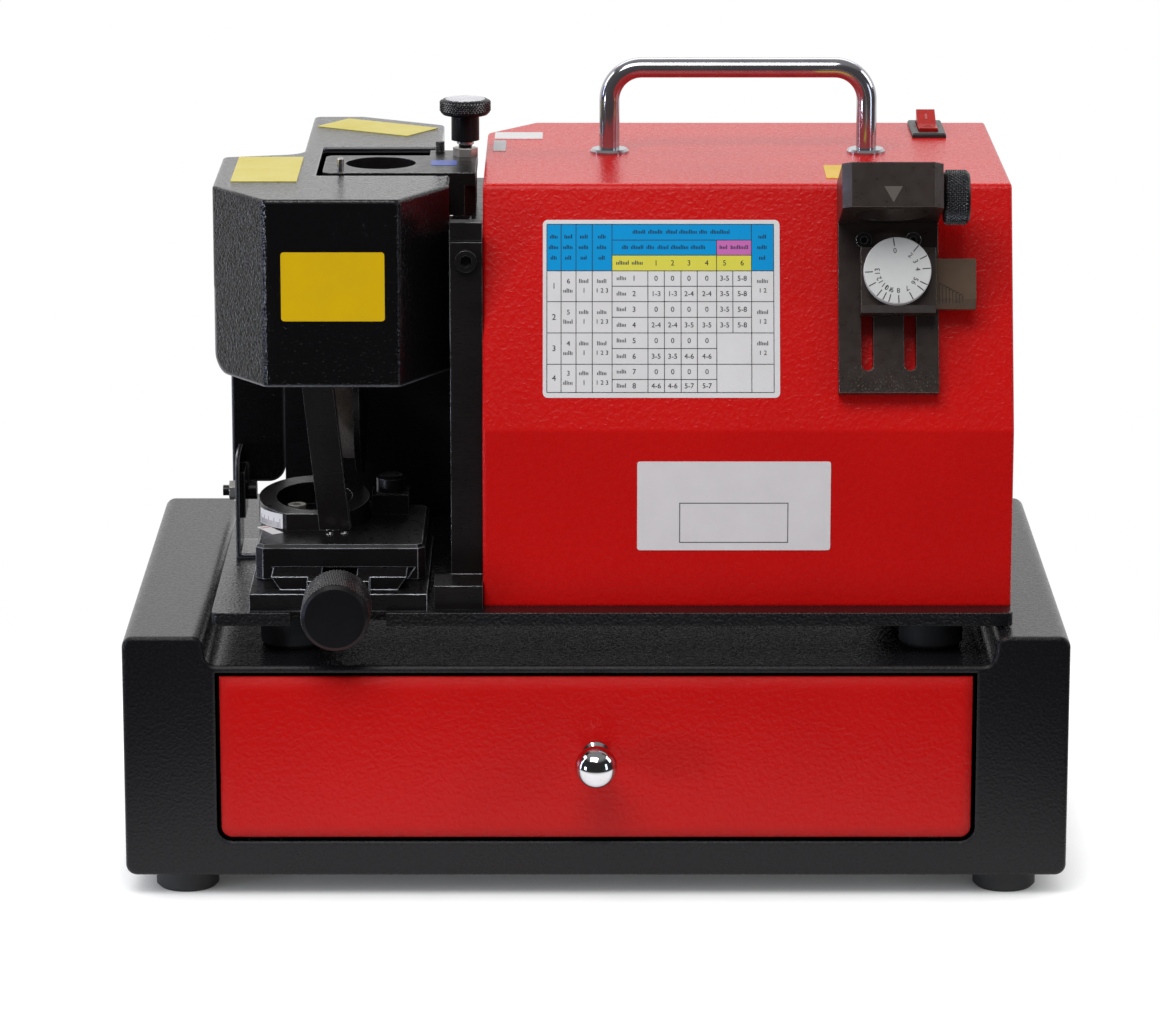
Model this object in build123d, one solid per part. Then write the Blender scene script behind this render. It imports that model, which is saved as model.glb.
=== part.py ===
from build123d import *
import math
import os

# A bench grinder for end mills, standing on a drawer cabinet. Sizes are in millimetres.
# Pieces are drawn with X = 0 at the cabinet's middle, Y = 0 at the cabinet's front face
# (growing towards the back) and Z = 0 at the bench.

# Fits and gaps that several pieces share
RUN_FIT = 0.05        # radial room of a part that turns or slides in a bore
SEAT_FIT = 0.04       # radial room of a part that is pressed or glued in
SLIDE_GAP = 0.3       # room between two parts that pass each other
SCREW_ROOM = 0.3      # radial room of a plain hole round a screw

# Cabinet, folded from sheet, with a tray on top that the machine stands in
CABINET_WIDTH = 425.0
CABINET_DEPTH = 268.0
CABINET_HEIGHT = 111.5
CABINET_SHEET = 2.0
CABINET_BEND = 5.0
CABINET_EDGE = 1.8
TRAY_DEPTH = 13.5
TRAY_LIP = 3.0
TRAY_LEFT_ROOM = 4.0    # room between the left cheek and the base plate
TRAY_RIGHT_LAP = 7.5    # how far the base plate reaches over the right cheek
CHEEK_SLOPE = 2.0
FRONT_STILE = 41.5
FRONT_SILL = 16.0
FOOT_HEIGHT = 10.0
FOOT_DIAMETER = 28.5
FOOT_INSET_X = 26.5
FOOT_INSET_Y = 20.0
FOOT_CHAMFER = 1.5
FOOT_RECESS_DIAMETER = 10.0
FOOT_RECESS_DEPTH = 4.0

# Drawer
DRAWER_GAP = 2.0
DRAWER_FRONT_THICKNESS = 3.0
DRAWER_CORNER = 5.0
DRAWER_EDGE = 1.0
DRAWER_SHEET = 1.5
DRAWER_SIDE_GAP = 5.5
DRAWER_TOP_GAP = 10.0
DRAWER_BACK_GAP = 28.0
DRAWER_BEND = 3.0
RUNNER_WIDTH = 16.0
RUNNER_INSET = 8.0
RUNNER_SHEET = 1.5
KNOB_REACH = 30.0
KNOB_BALL = 19.0
KNOB_NECK = 8.0
KNOB_COLLAR = 13.0
KNOB_COLLAR_LENGTH = 2.5
KNOB_STUD = 4.0
KNOB_RISE = 1.5       # the knob sits this much above the middle of the drawer opening

# Base plate on its own rubber feet in the tray
PLATE_LIFT = 1.5      # room between the cabinet's cheeks and the plate
PLATE_THICKNESS = 6.0
PLATE_LEFT = -173.0
PLATE_FRONT = 14.0
PLATE_BACK = 245.0
PLATE_CORNER = 3.0
PLATE_NOTCH_WIDTH = 43.0
PLATE_NOTCH_DEPTH = 11.0
MACHINE_FOOT_DIAMETER = 29.0
MACHINE_FOOT_INSET_X = 35.0
MACHINE_FOOT_INSET_Y = 29.0

# Motor cover, a folded-sheet hood with a leaning upper front
COVER_SHEET = 2.0
COVER_WIDTH = 238.5
COVER_FRONT = 26.8
COVER_BACK = 235.0
COVER_CREASE = 81.0
COVER_LEAN = 20.0
COVER_HEIGHT = 186.5
COVER_BEND = 3.0
COVER_EDGE = 1.5
COVER_CHAMFER_X = 25.0
COVER_CHAMFER_Y = 34.0
VENT_SLOTS = 7
VENT_PITCH = 8.0
VENT_WIDTH = 3.0
VENT_LENGTH = 46.0
VENT_X = 40.0
VENT_HEIGHT = 60.0

# Carry handle
HANDLE_ROD = 9.4
HANDLE_LEFT = 6.5
HANDLE_SPAN = 119.5
HANDLE_Y = 149.0
HANDLE_RISE = 44.5
HANDLE_BEND = 15.0
FLANGE_DIAMETER = 18.0
FLANGE_HEIGHT = 2.0

# Rocker switch
SWITCH_X = 158.0
SWITCH_Y = 208.0
SWITCH_BEZEL_WIDTH = 16.0
SWITCH_BEZEL_LENGTH = 39.0
SWITCH_BEZEL_HEIGHT = 2.2
SWITCH_BODY_WIDTH = 13.0
SWITCH_BODY_LENGTH = 36.0
SWITCH_BODY_DEPTH = 24.0
PANEL_GAP = 0.2       # room round a part that is snapped through the cover's sheet
ROCKER_WIDTH = 8.8
ROCKER_LENGTH = 27.0
ROCKER_POCKET_DEPTH = 9.0
ROCKER_AXIS_DEPTH = 1.0
ROCKER_END_RISE = 5.0
ROCKER_DIP = 2.4
ROCKER_TILT = 10.0
ROCKER_PIVOT = 2.4
ROCKER_PIVOT_LENGTH = 1.2

# Mains inlet in the back of the cover
INLET_X = 150.0
INLET_HEIGHT = 42.0
INLET_FLANGE_WIDTH = 50.0
INLET_FLANGE_HEIGHT = 26.0
INLET_FLANGE_THICKNESS = 3.0
INLET_BODY_WIDTH = 29.0
INLET_BODY_HEIGHT = 21.0
INLET_BODY_DEPTH = 24.0
INLET_WALL = 2.5
INLET_SOCKET_DEPTH = 16.0
INLET_PIN_WIDTH = 2.0
INLET_PIN_HEIGHT = 4.0
INLET_PIN_LENGTH = 14.0
INLET_PIN_PITCH = 7.0
INLET_EARTH_RISE = 3.0

# End plate that carries the spindle
END_PLATE_RIGHT = -51.0
END_PLATE_THICKNESS = 14.6
END_PLATE_FRONT = 42.0
END_PLATE_BACK = 205.0
END_PLATE_HEIGHT = 164.5
END_LIP_DEPTH = 8.0       # raised lip along the top's front edge
END_LIP_HEIGHT = 8.6
END_GROOVE = 0.8
END_FOOT_WIDTH = 22.0
END_FOOT_DEPTH = 22.0
END_FOOT_HEIGHT = 11.0
END_SCREW_DIAMETER = 6.0
END_SCREW_HEAD = 10.0
END_SCREW_HEAD_LENGTH = 6.0
END_SCREW_PROUD = 2.0
END_SCREW_LENGTH = 20.0
END_SCREW_DROP = 8.8

# Motor and spindle
SPINDLE_Y = 125.6
SPINDLE_HEIGHT = 96.0
SPINDLE_DIAMETER = 12.0
SPINDLE_FLANGE = 34.0
SPINDLE_FLANGE_LENGTH = 6.0
BEARING_DIAMETER = 28.0
BEARING_WIDTH = 8.0
MOTOR_DIAMETER = 110.0
MOTOR_LENGTH = 170.0
MOTOR_NOSE_DIAMETER = 60.0
MOTOR_NOSE_LENGTH = 11.0
MOTOR_CAP_DIAMETER = 96.0
MOTOR_CAP_LENGTH = 18.0
MOTOR_FOOT_WIDTH = 84.0
MOTOR_FOOT_LENGTH = 110.0
MOTOR_SHAFT_ROOM = 0.5
NOSE_ROOM = 2.0

# Grinding wheel on the spindle
WHEEL_DIAMETER = 98.0
WHEEL_WIDTH = 24.0
WHEEL_TAPER = 8.0
WHEEL_HUB_DIAMETER = 40.0
DISC_DIAMETER = 112.0
DISC_THICKNESS = 3.0
WHEEL_OVERHANG = 42.4   # from the end plate to the disc's back
NUT_FLATS = 22.0
NUT_LENGTH = 8.0

# Wheel guard, a bent and welded hood that lifts off
GUARD_SHEET = 2.6
GUARD_BEND = 3.5
GUARD_RISE = 21.0       # height of its top above the end plate
GUARD_SKIRT = 100.5     # height of its lower edge above the base plate
GUARD_PORT_HEIGHT = 139.0   # height of the left wall's raised lower edge
GUARD_FRONT = 30.0
GUARD_FRONT_LEFT = -148.0
GUARD_FRONT_WIDTH = 60.0
GUARD_LEFT = -173.0
GUARD_LEFT_CORNER_Y = 65.5
GUARD_RIGHT_CORNER_Y = 67.5
GUARD_STEP_Y = 142.0
GUARD_STEP_RISE = 9.0
GUARD_STEP_RADIUS = 12.0
GUARD_NECK_LEFT = -136.0
GUARD_NECK_INSET = 5.9
GUARD_BACK = 257.0
GUARD_BACK_WIDTH = 24.0
GUARD_BACK_SLANT = 25.0
GUARD_GAP = 0.8
GUARD_CORNER_CUT = 10.7
GUARD_SLOT_GAP = 8.0
GUARD_SLOT_CORNER = 2.0
GUARD_SLOT_END_GAP = 2.6
GUARD_TAB_REACH = 9.0
GUARD_TAB_THICKNESS = 3.0
GUARD_TAB_LENGTH = 18.0
GUARD_TAB_INSET = 2.5
GUARD_CHUCK_GAP = 4.0

# Side shield below the guard, on a bent bracket
SHIELD_SHEET = 2.0
SHIELD_Y = 145.0
SHIELD_LEFT = -171.0
SHIELD_WIDTH = 25.0
SHIELD_LOW = 30.0
SHIELD_HIGH = 133.0
SHIELD_CORNER = 8.0
SHIELD_FLANGE_DEPTH = 20.0
SHIELD_FLANGE_HEIGHT = 22.0
BRACKET_SHEET = 2.0
BRACKET_LEFT = -168.0
BRACKET_DEPTH = 30.0
BRACKET_HEIGHT = 48.0
BRACKET_FOOT = 10.0
BRACKET_CORNER = 8.0
BRACKET_SCREW = 5.0
BRACKET_SCREW_HEIGHT = 28.0
BRACKET_SCREW_TAIL = 3.0
BRACKET_SCREW_HEAD = 8.5
BRACKET_SCREW_HEAD_LENGTH = 5.0
BRACKET_NUT_FLATS = 8.0
BRACKET_NUT_LENGTH = 4.0

# Chuck ports: all four take the same round chuck
CHUCK_BORE = 32.5
PORT_RING = 44.0

# Top port, a plate that is raised and lowered over the wheel
PORT_X = -99.1
PORT_PLATE_THICKNESS = 6.0
PORT_LEFT_REACH = 25.9
PORT_RIGHT_REACH = 44.1
PORT_FRONT_REACH = 26.0
PORT_BACK_REACH = 20.1
PORT_CORNER = 4.0
PORT_LUG_WIDTH = 22.0
PORT_LUG_REACH = 34.4
PORT_LEG_WIDTH = 13.0
PORT_LEG_DEPTH = 38.4
PORT_LEG_CHAMFER = 5.0
PORT_LEG_GAP = 1.3
GUIDE_PIN = 5.0
GUIDE_PIN_SEAT = 10.0
GUIDE_PIN_REACH = 10.0
GUIDE_PIN_INSET = 7.0
LOCATING_PIN = 3.0
LOCATING_PIN_HEIGHT = 6.0
LOCATING_PIN_SEAT = 4.0
LOCATING_PIN_INSET_X = 8.2
LOCATING_PIN_INSET_Y = 5.1
SET_SCREW = 4.0
SET_SCREW_HEIGHT = 5.0
SET_SCREW_INSET = 4.5
DEPTH_KNOB_INSET_X = 5.5
DEPTH_KNOB_Y = 145.7
DEPTH_STEM = 6.0
DEPTH_NUT_FLATS = 10.0
DEPTH_NUT_HEIGHT = 4.0
DEPTH_NECK = 13.0
DEPTH_NECK_GAP = 3.5
DEPTH_NECK_LENGTH = 12.0
DEPTH_HEAD = 22.7
DEPTH_HEAD_HEIGHT = 7.0
DEPTH_HEAD_CHAMFER = 1.0

# Primary-angle slide: dovetail base, feed screw and carriage
FEED_X = -116.0
FEED_HEIGHT = 5.7
FEED_SCREW = 8.0
FEED_SCREW_SETBACK = 15.0
FEED_SPIGOT = 6.0
FEED_KNOB = 30.0
FEED_KNOB_LENGTH = 30.0
FEED_KNOB_BORE_DEPTH = 16.0
FEED_KNOB_CHAMFER = 1.5
FEED_KNOB_GAP = 5.0
SLIDE_BASE_WIDTH = 80.0
SLIDE_BASE_FRONT = 17.0
SLIDE_BASE_LENGTH = 108.0
SLIDE_BASE_HEIGHT = 8.0
SLIDE_WALL = 8.0        # front wall that carries the feed screw
SLIDE_WALL_WIDTH = 28.0
DOVETAIL_HEIGHT = 6.0
DOVETAIL_FOOT = 53.0
DOVETAIL_FLARE = 4.0
FEED_GROOVE = 16.0
FEED_GROOVE_FLOOR = 1.0
CARRIAGE_WIDTH = 77.0
CARRIAGE_FRONT = 42.0
CARRIAGE_LENGTH = 80.0
CARRIAGE_HEIGHT = 15.9
CARRIAGE_GAP = 0.6
CARRIAGE_CHAMFER = 1.5
CARRIAGE_CORNER = 3.3
GIB_THICKNESS = 3.0
GIB_INSET = 1.0
FEED_NUT_WIDTH = 12.0
FEED_NUT_LENGTH = 20.0
FEED_NUT_SETBACK = 30.0

# Swivel cradle on the carriage, with the guide bar and the primary port
CRADLE_X = -130.0
CRADLE_Y = 92.5
CRADLE_DIAMETER = 51.0
CRADLE_FRONT = 70.0
CRADLE_BOWL = 35.0
CRADLE_FLOOR = 3.0
CRADLE_FRONT_HEIGHT = 7.8
CRADLE_RISE = 8.0
CRADLE_SCREW = 5.0
CRADLE_SCREW_HEAD = 8.5
CRADLE_SCREW_HEAD_LENGTH = 4.0
CRADLE_SCREW_LENGTH = 8.0
CRADLE_SCREW_SPACING = 16.0
CRADLE_SCREW_SWING = 1.0
BAR_WIDTH = 14.0
BAR_DEPTH = 8.0
BAR_X = -119.5
BAR_INSET = 4.0
BAR_LENGTH = 102.0
BAR_LEAN_LEFT = 5.6
BAR_LEAN_FRONT = 8.0
PRIMARY_LEFT = -164.0
PRIMARY_LENGTH = 18.0
PRIMARY_Y = 93.0
PRIMARY_HEIGHT = 116.0
PRIMARY_ARM_HEIGHT = 14.0
PRIMARY_ARM_BACK = 72.0
PRIMARY_ARM_DEPTH = 10.0
PRIMARY_SHOULDER = 6.0
BOSS_X = -95.1
BOSS_Y = 109.0
BOSS_DIAMETER = 13.5
BOSS_HEIGHT = 17.5
BOSS_FOOT = 17.0
BOSS_FOOT_HEIGHT = 9.5

# Rear port on the plate that closes the back of the wheel's room
REAR_X = -105.0
REAR_HEIGHT = 106.0
REAR_RING_FRONT = 190.0
REAR_RING_LENGTH = 22.0
REAR_SEAT_DROP = 5.0
REAR_SOCKET_WIDTH = 26.0
REAR_PLATE_LEFT = -149.0
REAR_PLATE_DEPTH = 10.0
REAR_PLATE_CORNER = 10.0
REAR_FOOT_DEPTH = 24.0
REAR_FOOT_HEIGHT = 8.0

# Setting fixture, drawn on the leaning face: X across, V up the slope, W out of the face
FIXTURE_DROP = 105.5    # V starts this far below the cover's top
FIXTURE_LEFT = 108.6
FIXTURE_WIDTH = 44.8
FIXTURE_LOW = 16.3
FIXTURE_HIGH = 113.0
FIXTURE_PLATE = 8.0
FIXTURE_SLOT = 5.4
FIXTURE_SLOT_PITCH = 19.2
FIXTURE_SLOT_LOW = 26.2
FIXTURE_SLOT_HIGH = 60.0
FIXTURE_SCREW = 4.0
FIXTURE_SCREW_HEAD = 7.2
FIXTURE_SCREW_HEAD_LENGTH = 4.0
FIXTURE_SCREW_V = 84.7
FIXTURE_SCREW_PITCH = 22.0
SETTING_LOW = 93.0
SETTING_REACH = 44.0
SETTING_CHAMFER = 4.0
CLAMP_KNOB = 23.5
CLAMP_KNOB_LENGTH = 11.5
CLAMP_KNOB_GAP = 1.0
CLAMP_KNOB_CHAMFER = 1.0
CLAMP_STEM = 6.0
CLAMP_STEM_SETBACK = 0.5
CLAMP_DROP = 2.0
DIAL_BLOCK_LEFT = 118.0
DIAL_BLOCK_WIDTH = 33.6
DIAL_BLOCK_LOW = 50.7
DIAL_BLOCK_HEIGHT = 29.0
DIAL_BLOCK_DEPTH = 14.0
DIAL_BLOCK_CHAMFER = 3.0
DIAL_X = 134.0
DIAL_V = 68.5
DIAL_DIAMETER = 30.0
DIAL_THICKNESS = 5.2
DIAL_SHAFT = 8.0
SCALE_LEFT = 120.5
SCALE_LENGTH = 49.3
SCALE_LOW = 53.5
SCALE_HEIGHT = 22.2
SCALE_THICKNESS = 7.4
SCALE_CHAMFER = 4.0

# Heights and places that follow from the sizes above
CABINET_BOTTOM = FOOT_HEIGHT
CABINET_TOP = CABINET_BOTTOM + CABINET_HEIGHT
TRAY_FLOOR = CABINET_TOP - TRAY_DEPTH
OPENING_WIDTH = CABINET_WIDTH - 2 * FRONT_STILE
OPENING_LOW = CABINET_BOTTOM + FRONT_SILL
OPENING_HIGH = TRAY_FLOOR - TRAY_LIP
DECK = CABINET_TOP + PLATE_LIFT + PLATE_THICKNESS
COVER_LEFT = END_PLATE_RIGHT
COVER_RIGHT = COVER_LEFT + COVER_WIDTH
COVER_TOP = DECK + COVER_HEIGHT
END_PLATE_LEFT = END_PLATE_RIGHT - END_PLATE_THICKNESS
END_PLATE_TOP = DECK + END_PLATE_HEIGHT
SPINDLE_Z = DECK + SPINDLE_HEIGHT
WHEEL_BACK = END_PLATE_LEFT - WHEEL_OVERHANG
GUARD_TOP = END_PLATE_TOP + GUARD_RISE
GUARD_LOW = DECK + GUARD_SKIRT
GUARD_RIGHT = END_PLATE_LEFT - GUARD_GAP
PORT_Y = SPINDLE_Y
PORT_TOP = GUARD_TOP
PORT_LOW = PORT_TOP - PORT_PLATE_THICKNESS
PORT_RIGHT = PORT_X + PORT_RIGHT_REACH
DEPTH_KNOB_X = PORT_RIGHT - DEPTH_KNOB_INSET_X
FEED_Z = DECK + FEED_HEIGHT
SLIDE_TOP = DECK + SLIDE_BASE_HEIGHT
CARRIAGE_LOW = SLIDE_TOP + CARRIAGE_GAP
CARRIAGE_TOP = CARRIAGE_LOW + CARRIAGE_HEIGHT
PRIMARY_Z = DECK + PRIMARY_HEIGHT
REAR_Z = DECK + REAR_HEIGHT
LEAN = math.radians(COVER_LEAN)
FIXTURE_Z = COVER_TOP - FIXTURE_DROP
FIXTURE_Y = COVER_FRONT + (FIXTURE_Z - DECK - COVER_CREASE) * math.tan(LEAN)
FIXTURE = Plane((0, FIXTURE_Y, FIXTURE_Z), x_dir=(1, 0, 0), z_dir=(0, -math.cos(LEAN), math.sin(LEAN)))
ALONG_X = (1, 0, 0)
ALONG_Y = (0, 1, 0)
ALONG_Z = (0, 0, 1)
DRAWER_LOW = OPENING_LOW + DRAWER_GAP + SLIDE_GAP
DRAWER_HIGH = OPENING_HIGH - DRAWER_TOP_GAP
DRAWER_BACK = CABINET_DEPTH - DRAWER_BACK_GAP
KNOB_Z = (OPENING_LOW + OPENING_HIGH) / 2 + KNOB_RISE


def block(x, y, z):
    """A rectangular block between three (low, high) pairs."""
    size = [high - low for low, high in (x, y, z)]
    middle = [(high + low) / 2 for low, high in (x, y, z)]
    return Pos(*middle) * Box(*size)


def rod(start, direction, length, diameter):
    """A round bar from a start point along a direction."""
    return extrude(Plane(start, z_dir=direction) * Circle(diameter / 2), length)


def hexagon(start, direction, length, flats):
    """A hexagonal bar, measured across its flats."""
    shape = RegularPolygon(flats / 2, 6, major_radius=False)
    return extrude(Plane(start, z_dir=direction) * shape, length)


def outline(*points):
    """A flat face inside straight edges."""
    return make_face(Polyline(*points, close=True))


def run_back(face, low, high):
    """A section drawn in X and Z, run along Y from one place to another."""
    return Pos(0, low, 0) * extrude(Plane.XZ * face, low - high)


def run_across(face, low, high):
    """A section drawn in Y and Z, run along X from one place to another."""
    return Pos(low, 0, 0) * extrude(Plane.YZ * face, high - low)


def run_up(face, low, high):
    """A plan drawn in X and Y, run along Z from one height to another."""
    return Pos(0, 0, low) * extrude(face, high - low)


def turned(points, start, direction):
    """A turned piece: (distance, radius) pairs from a start point, spun about a direction."""
    sideways = ALONG_Y if direction == ALONG_Z else ALONG_Z
    return Plane(start, x_dir=direction, z_dir=sideways) * revolve(outline(*points), Axis.X)


def group(pieces):
    """Like pieces that share a name but stay separate solids."""
    return Compound(children=list(pieces))


# Cabinet

def cabinet_section(inset):
    """The cabinet seen end-on, drawn in from its outer faces: two cheeks with the tray between."""
    half = CABINET_WIDTH / 2 - inset
    left = PLATE_LEFT - TRAY_LEFT_ROOM - inset
    right = COVER_RIGHT - TRAY_RIGHT_LAP + inset
    low = CABINET_BOTTOM + inset
    high = CABINET_TOP - inset
    floor = TRAY_FLOOR - inset
    face = outline((-half, low), (half, low), (half, high), (right, high), (right - CHEEK_SLOPE, floor),
                   (left + CHEEK_SLOPE, floor), (left, high), (-half, high))
    return fillet(face.vertices(), CABINET_BEND - inset)


def drawer_face(grow):
    """The drawer front's outline, grown all round, with its two lower corners rounded."""
    half = OPENING_WIDTH / 2 - DRAWER_GAP + grow
    low = OPENING_LOW + DRAWER_GAP - grow
    high = OPENING_HIGH - DRAWER_GAP + grow
    face = outline((-half, low), (half, low), (half, high), (-half, high))
    return fillet(face.vertices().sort_by(Axis.Y)[:2], DRAWER_CORNER + grow)


def cabinet_shell():
    outer = run_back(cabinet_section(0), 0, CABINET_DEPTH)
    ends = outer.faces().sort_by(Axis.Y)
    outer = fillet(ends[0].edges() + ends[-1].edges(), CABINET_EDGE)
    hollow = run_back(cabinet_section(CABINET_SHEET), CABINET_SHEET, CABINET_DEPTH - CABINET_SHEET)
    opening = run_back(drawer_face(DRAWER_GAP), -CABINET_SHEET, 2 * CABINET_SHEET)
    return outer - hollow - opening


def rubber_feet(diameter, height, low, places):
    """Round rubber feet, chamfered below, with a recess for the fixing screw."""
    foot = rod((0, 0, low), ALONG_Z, height, diameter)
    foot = chamfer(foot.edges().sort_by(Axis.Z)[0], FOOT_CHAMFER)
    foot -= rod((0, 0, low), ALONG_Z, FOOT_RECESS_DEPTH, FOOT_RECESS_DIAMETER)
    return group(Pos(x, y, 0) * foot for x, y in places)


def cabinet_feet():
    across = CABINET_WIDTH / 2 - FOOT_INSET_X
    places = [(x, y) for x in (-across, across) for y in (FOOT_INSET_Y, CABINET_DEPTH - FOOT_INSET_Y)]
    return rubber_feet(FOOT_DIAMETER, FOOT_HEIGHT, 0, places)


def drawer_section(inset, high):
    """The drawer box seen end-on: a trough with bent lower corners."""
    half = OPENING_WIDTH / 2 - DRAWER_SIDE_GAP - inset
    low = DRAWER_LOW + inset
    face = outline((-half, low), (half, low), (half, high), (-half, high))
    return fillet(face.vertices().sort_by(Axis.Y)[:2], DRAWER_BEND - inset)


def stud_hole():
    """The hole for the knob's stud through the drawer front and the box behind it."""
    depth = DRAWER_FRONT_THICKNESS + DRAWER_SHEET
    return rod((0, -depth, KNOB_Z), ALONG_Y, 3 * depth, KNOB_STUD + 2 * SCREW_ROOM)


def drawer_box():
    front = DRAWER_FRONT_THICKNESS
    outer = run_back(drawer_section(0, DRAWER_HIGH), front, DRAWER_BACK)
    inner = run_back(drawer_section(DRAWER_SHEET, DRAWER_HIGH + DRAWER_SHEET),
                     front + DRAWER_SHEET, DRAWER_BACK - DRAWER_SHEET)
    return outer - inner - stud_hole()


def drawer_front():
    panel = run_back(drawer_face(0), 0, DRAWER_FRONT_THICKNESS)
    panel = fillet(panel.faces().sort_by(Axis.Y)[0].edges(), DRAWER_EDGE)
    return panel - stud_hole()


def drawer_knob():
    """A turned ball knob on a collar, with the stud that holds it."""
    ball = KNOB_BALL / 2
    stud = DRAWER_FRONT_THICKNESS + DRAWER_SHEET
    neck = turned([(-stud, 0), (-stud, KNOB_STUD / 2), (0, KNOB_STUD / 2), (0, KNOB_COLLAR / 2),
                   (KNOB_COLLAR_LENGTH, KNOB_COLLAR / 2), (2 * KNOB_COLLAR_LENGTH, KNOB_NECK / 2),
                   (KNOB_REACH - ball, KNOB_NECK / 2), (KNOB_REACH - ball, 0)],
                  (0, 0, KNOB_Z), (0, -1, 0))
    return neck + Pos(0, ball - KNOB_REACH, KNOB_Z) * Sphere(ball)


def drawer_runners():
    """Two hat channels on the cabinet floor that the drawer box slides on."""
    low = CABINET_BOTTOM + CABINET_SHEET + SEAT_FIT
    high = DRAWER_LOW - SLIDE_GAP
    middle = OPENING_WIDTH / 2 - DRAWER_SIDE_GAP - RUNNER_INSET - RUNNER_WIDTH / 2
    half = RUNNER_WIDTH / 2
    channel = block((-half, half), (2 * CABINET_SHEET, DRAWER_BACK), (low, high))
    channel -= block((RUNNER_SHEET - half, half - RUNNER_SHEET), (0, CABINET_DEPTH), (0, high - RUNNER_SHEET))
    return group(Pos(x, 0, 0) * channel for x in (-middle, middle))


# Base plate and motor cover

def base_plate():
    plate = block((PLATE_LEFT, COVER_RIGHT), (PLATE_FRONT, PLATE_BACK), (DECK - PLATE_THICKNESS, DECK))
    plate = fillet(plate.edges().filter_by(Axis.Z), PLATE_CORNER)
    half = PLATE_NOTCH_WIDTH / 2
    return plate - block((FEED_X - half, FEED_X + half), (0, PLATE_FRONT + PLATE_NOTCH_DEPTH), (0, 2 * DECK))


def machine_feet():
    left = PLATE_LEFT + MACHINE_FOOT_INSET_X
    right = COVER_RIGHT - MACHINE_FOOT_INSET_X
    front = PLATE_FRONT + MACHINE_FOOT_INSET_Y
    back = PLATE_BACK - MACHINE_FOOT_INSET_Y
    places = [(x, y) for x in (left, right) for y in (front, back)]
    return rubber_feet(MACHINE_FOOT_DIAMETER, TRAY_DEPTH + PLATE_LIFT, TRAY_FLOOR, places)


def cover_section(low):
    """The cover seen from its end: upright front, leaning face, flat top and upright back."""
    crease = DECK + COVER_CREASE
    top_front = COVER_FRONT + (COVER_TOP - crease) * math.tan(LEAN)
    return outline((COVER_FRONT, low), (COVER_FRONT, crease), (top_front, COVER_TOP),
                   (COVER_BACK, COVER_TOP), (COVER_BACK, low))


def cover_corner(inset):
    """What the slanted back left corner takes off the cover, moved in by an inset."""
    slant = math.atan2(COVER_CHAMFER_X, COVER_CHAMFER_Y)
    outward = Vector(-math.cos(slant), math.sin(slant), 0)
    middle = Vector(COVER_LEFT + COVER_CHAMFER_X / 2, COVER_BACK - COVER_CHAMFER_Y / 2, DECK)
    reach = 2 * COVER_HEIGHT
    return extrude(Plane(middle - outward * inset, z_dir=outward) * Rectangle(reach, 2 * reach), reach)


def cover_vents():
    """A bank of cooling slots in the cover's back."""
    middle = (VENT_SLOTS - 1) / 2
    slot = block((VENT_X - VENT_WIDTH / 2, VENT_X + VENT_WIDTH / 2),
                 (COVER_BACK - 2 * COVER_SHEET, COVER_BACK + COVER_SHEET),
                 (DECK + VENT_HEIGHT, DECK + VENT_HEIGHT + VENT_LENGTH))
    return [Pos((step - middle) * VENT_PITCH, 0, 0) * slot for step in range(VENT_SLOTS)]


def nose_slot():
    """The open-bottomed slot in the cover's left wall that drops over the motor's nose."""
    half = MOTOR_NOSE_DIAMETER / 2 + NOSE_ROOM
    across = (COVER_LEFT - COVER_SHEET, COVER_LEFT + 2 * COVER_SHEET)
    lower = block(across, (SPINDLE_Y - half, SPINDLE_Y + half), (0, SPINDLE_Z))
    return lower + rod((across[0], SPINDLE_Y, SPINDLE_Z), ALONG_X, across[1] - across[0], 2 * half)


def motor_cover():
    outer = run_across(fillet(cover_section(DECK).vertices().sort_by(Axis.Y)[2:], COVER_BEND),
                       COVER_LEFT, COVER_RIGHT) - cover_corner(0)
    rims = [edge for face in (outer.faces().sort_by(Axis.X)[0], outer.faces().sort_by(Axis.X)[-1])
            for edge in face.edges() if edge.center().Z > DECK + COVER_EDGE]
    outer = fillet(rims, COVER_EDGE)
    hollow = offset(cover_section(DECK - COVER_SHEET), -COVER_SHEET, kind=Kind.INTERSECTION)
    inner = run_across(hollow, COVER_LEFT + COVER_SHEET, COVER_RIGHT - COVER_SHEET)
    inner -= cover_corner(COVER_SHEET)
    shell = outer - inner - nose_slot() - cover_vents()
    shell -= switch_body(PANEL_GAP)
    shell -= inlet_body(PANEL_GAP)
    return shell - [FIXTURE * rod((x, FIXTURE_SCREW_V, -FIXTURE_PLATE), ALONG_Z, 2 * FIXTURE_PLATE,
                                  FIXTURE_SCREW + 2 * SEAT_FIT) for x in fixture_screw_places()]


def carry_handle():
    """A bent round rod whose two legs stand on the cover."""
    high = COVER_TOP + HANDLE_RISE - HANDLE_ROD / 2
    right = HANDLE_LEFT + HANDLE_SPAN
    path = FilletPolyline((HANDLE_LEFT, HANDLE_Y, COVER_TOP), (HANDLE_LEFT, HANDLE_Y, high),
                          (right, HANDLE_Y, high), (right, HANDLE_Y, COVER_TOP), radius=HANDLE_BEND)
    return sweep(Plane((HANDLE_LEFT, HANDLE_Y, COVER_TOP), z_dir=ALONG_Z) * Circle(HANDLE_ROD / 2), path)


def handle_flanges():
    """Rings that finish the handle's feet on the cover."""
    bore = HANDLE_ROD / 2 + RUN_FIT
    rim = FLANGE_DIAMETER / 2
    half = [(0, bore), (0, rim), (FLANGE_HEIGHT / 2, rim), (FLANGE_HEIGHT, rim - FLANGE_HEIGHT / 2),
            (FLANGE_HEIGHT, bore)]
    return group(turned(half, (x, HANDLE_Y, COVER_TOP), ALONG_Z)
                 for x in (HANDLE_LEFT, HANDLE_LEFT + HANDLE_SPAN))


# Switch and inlet

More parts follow.
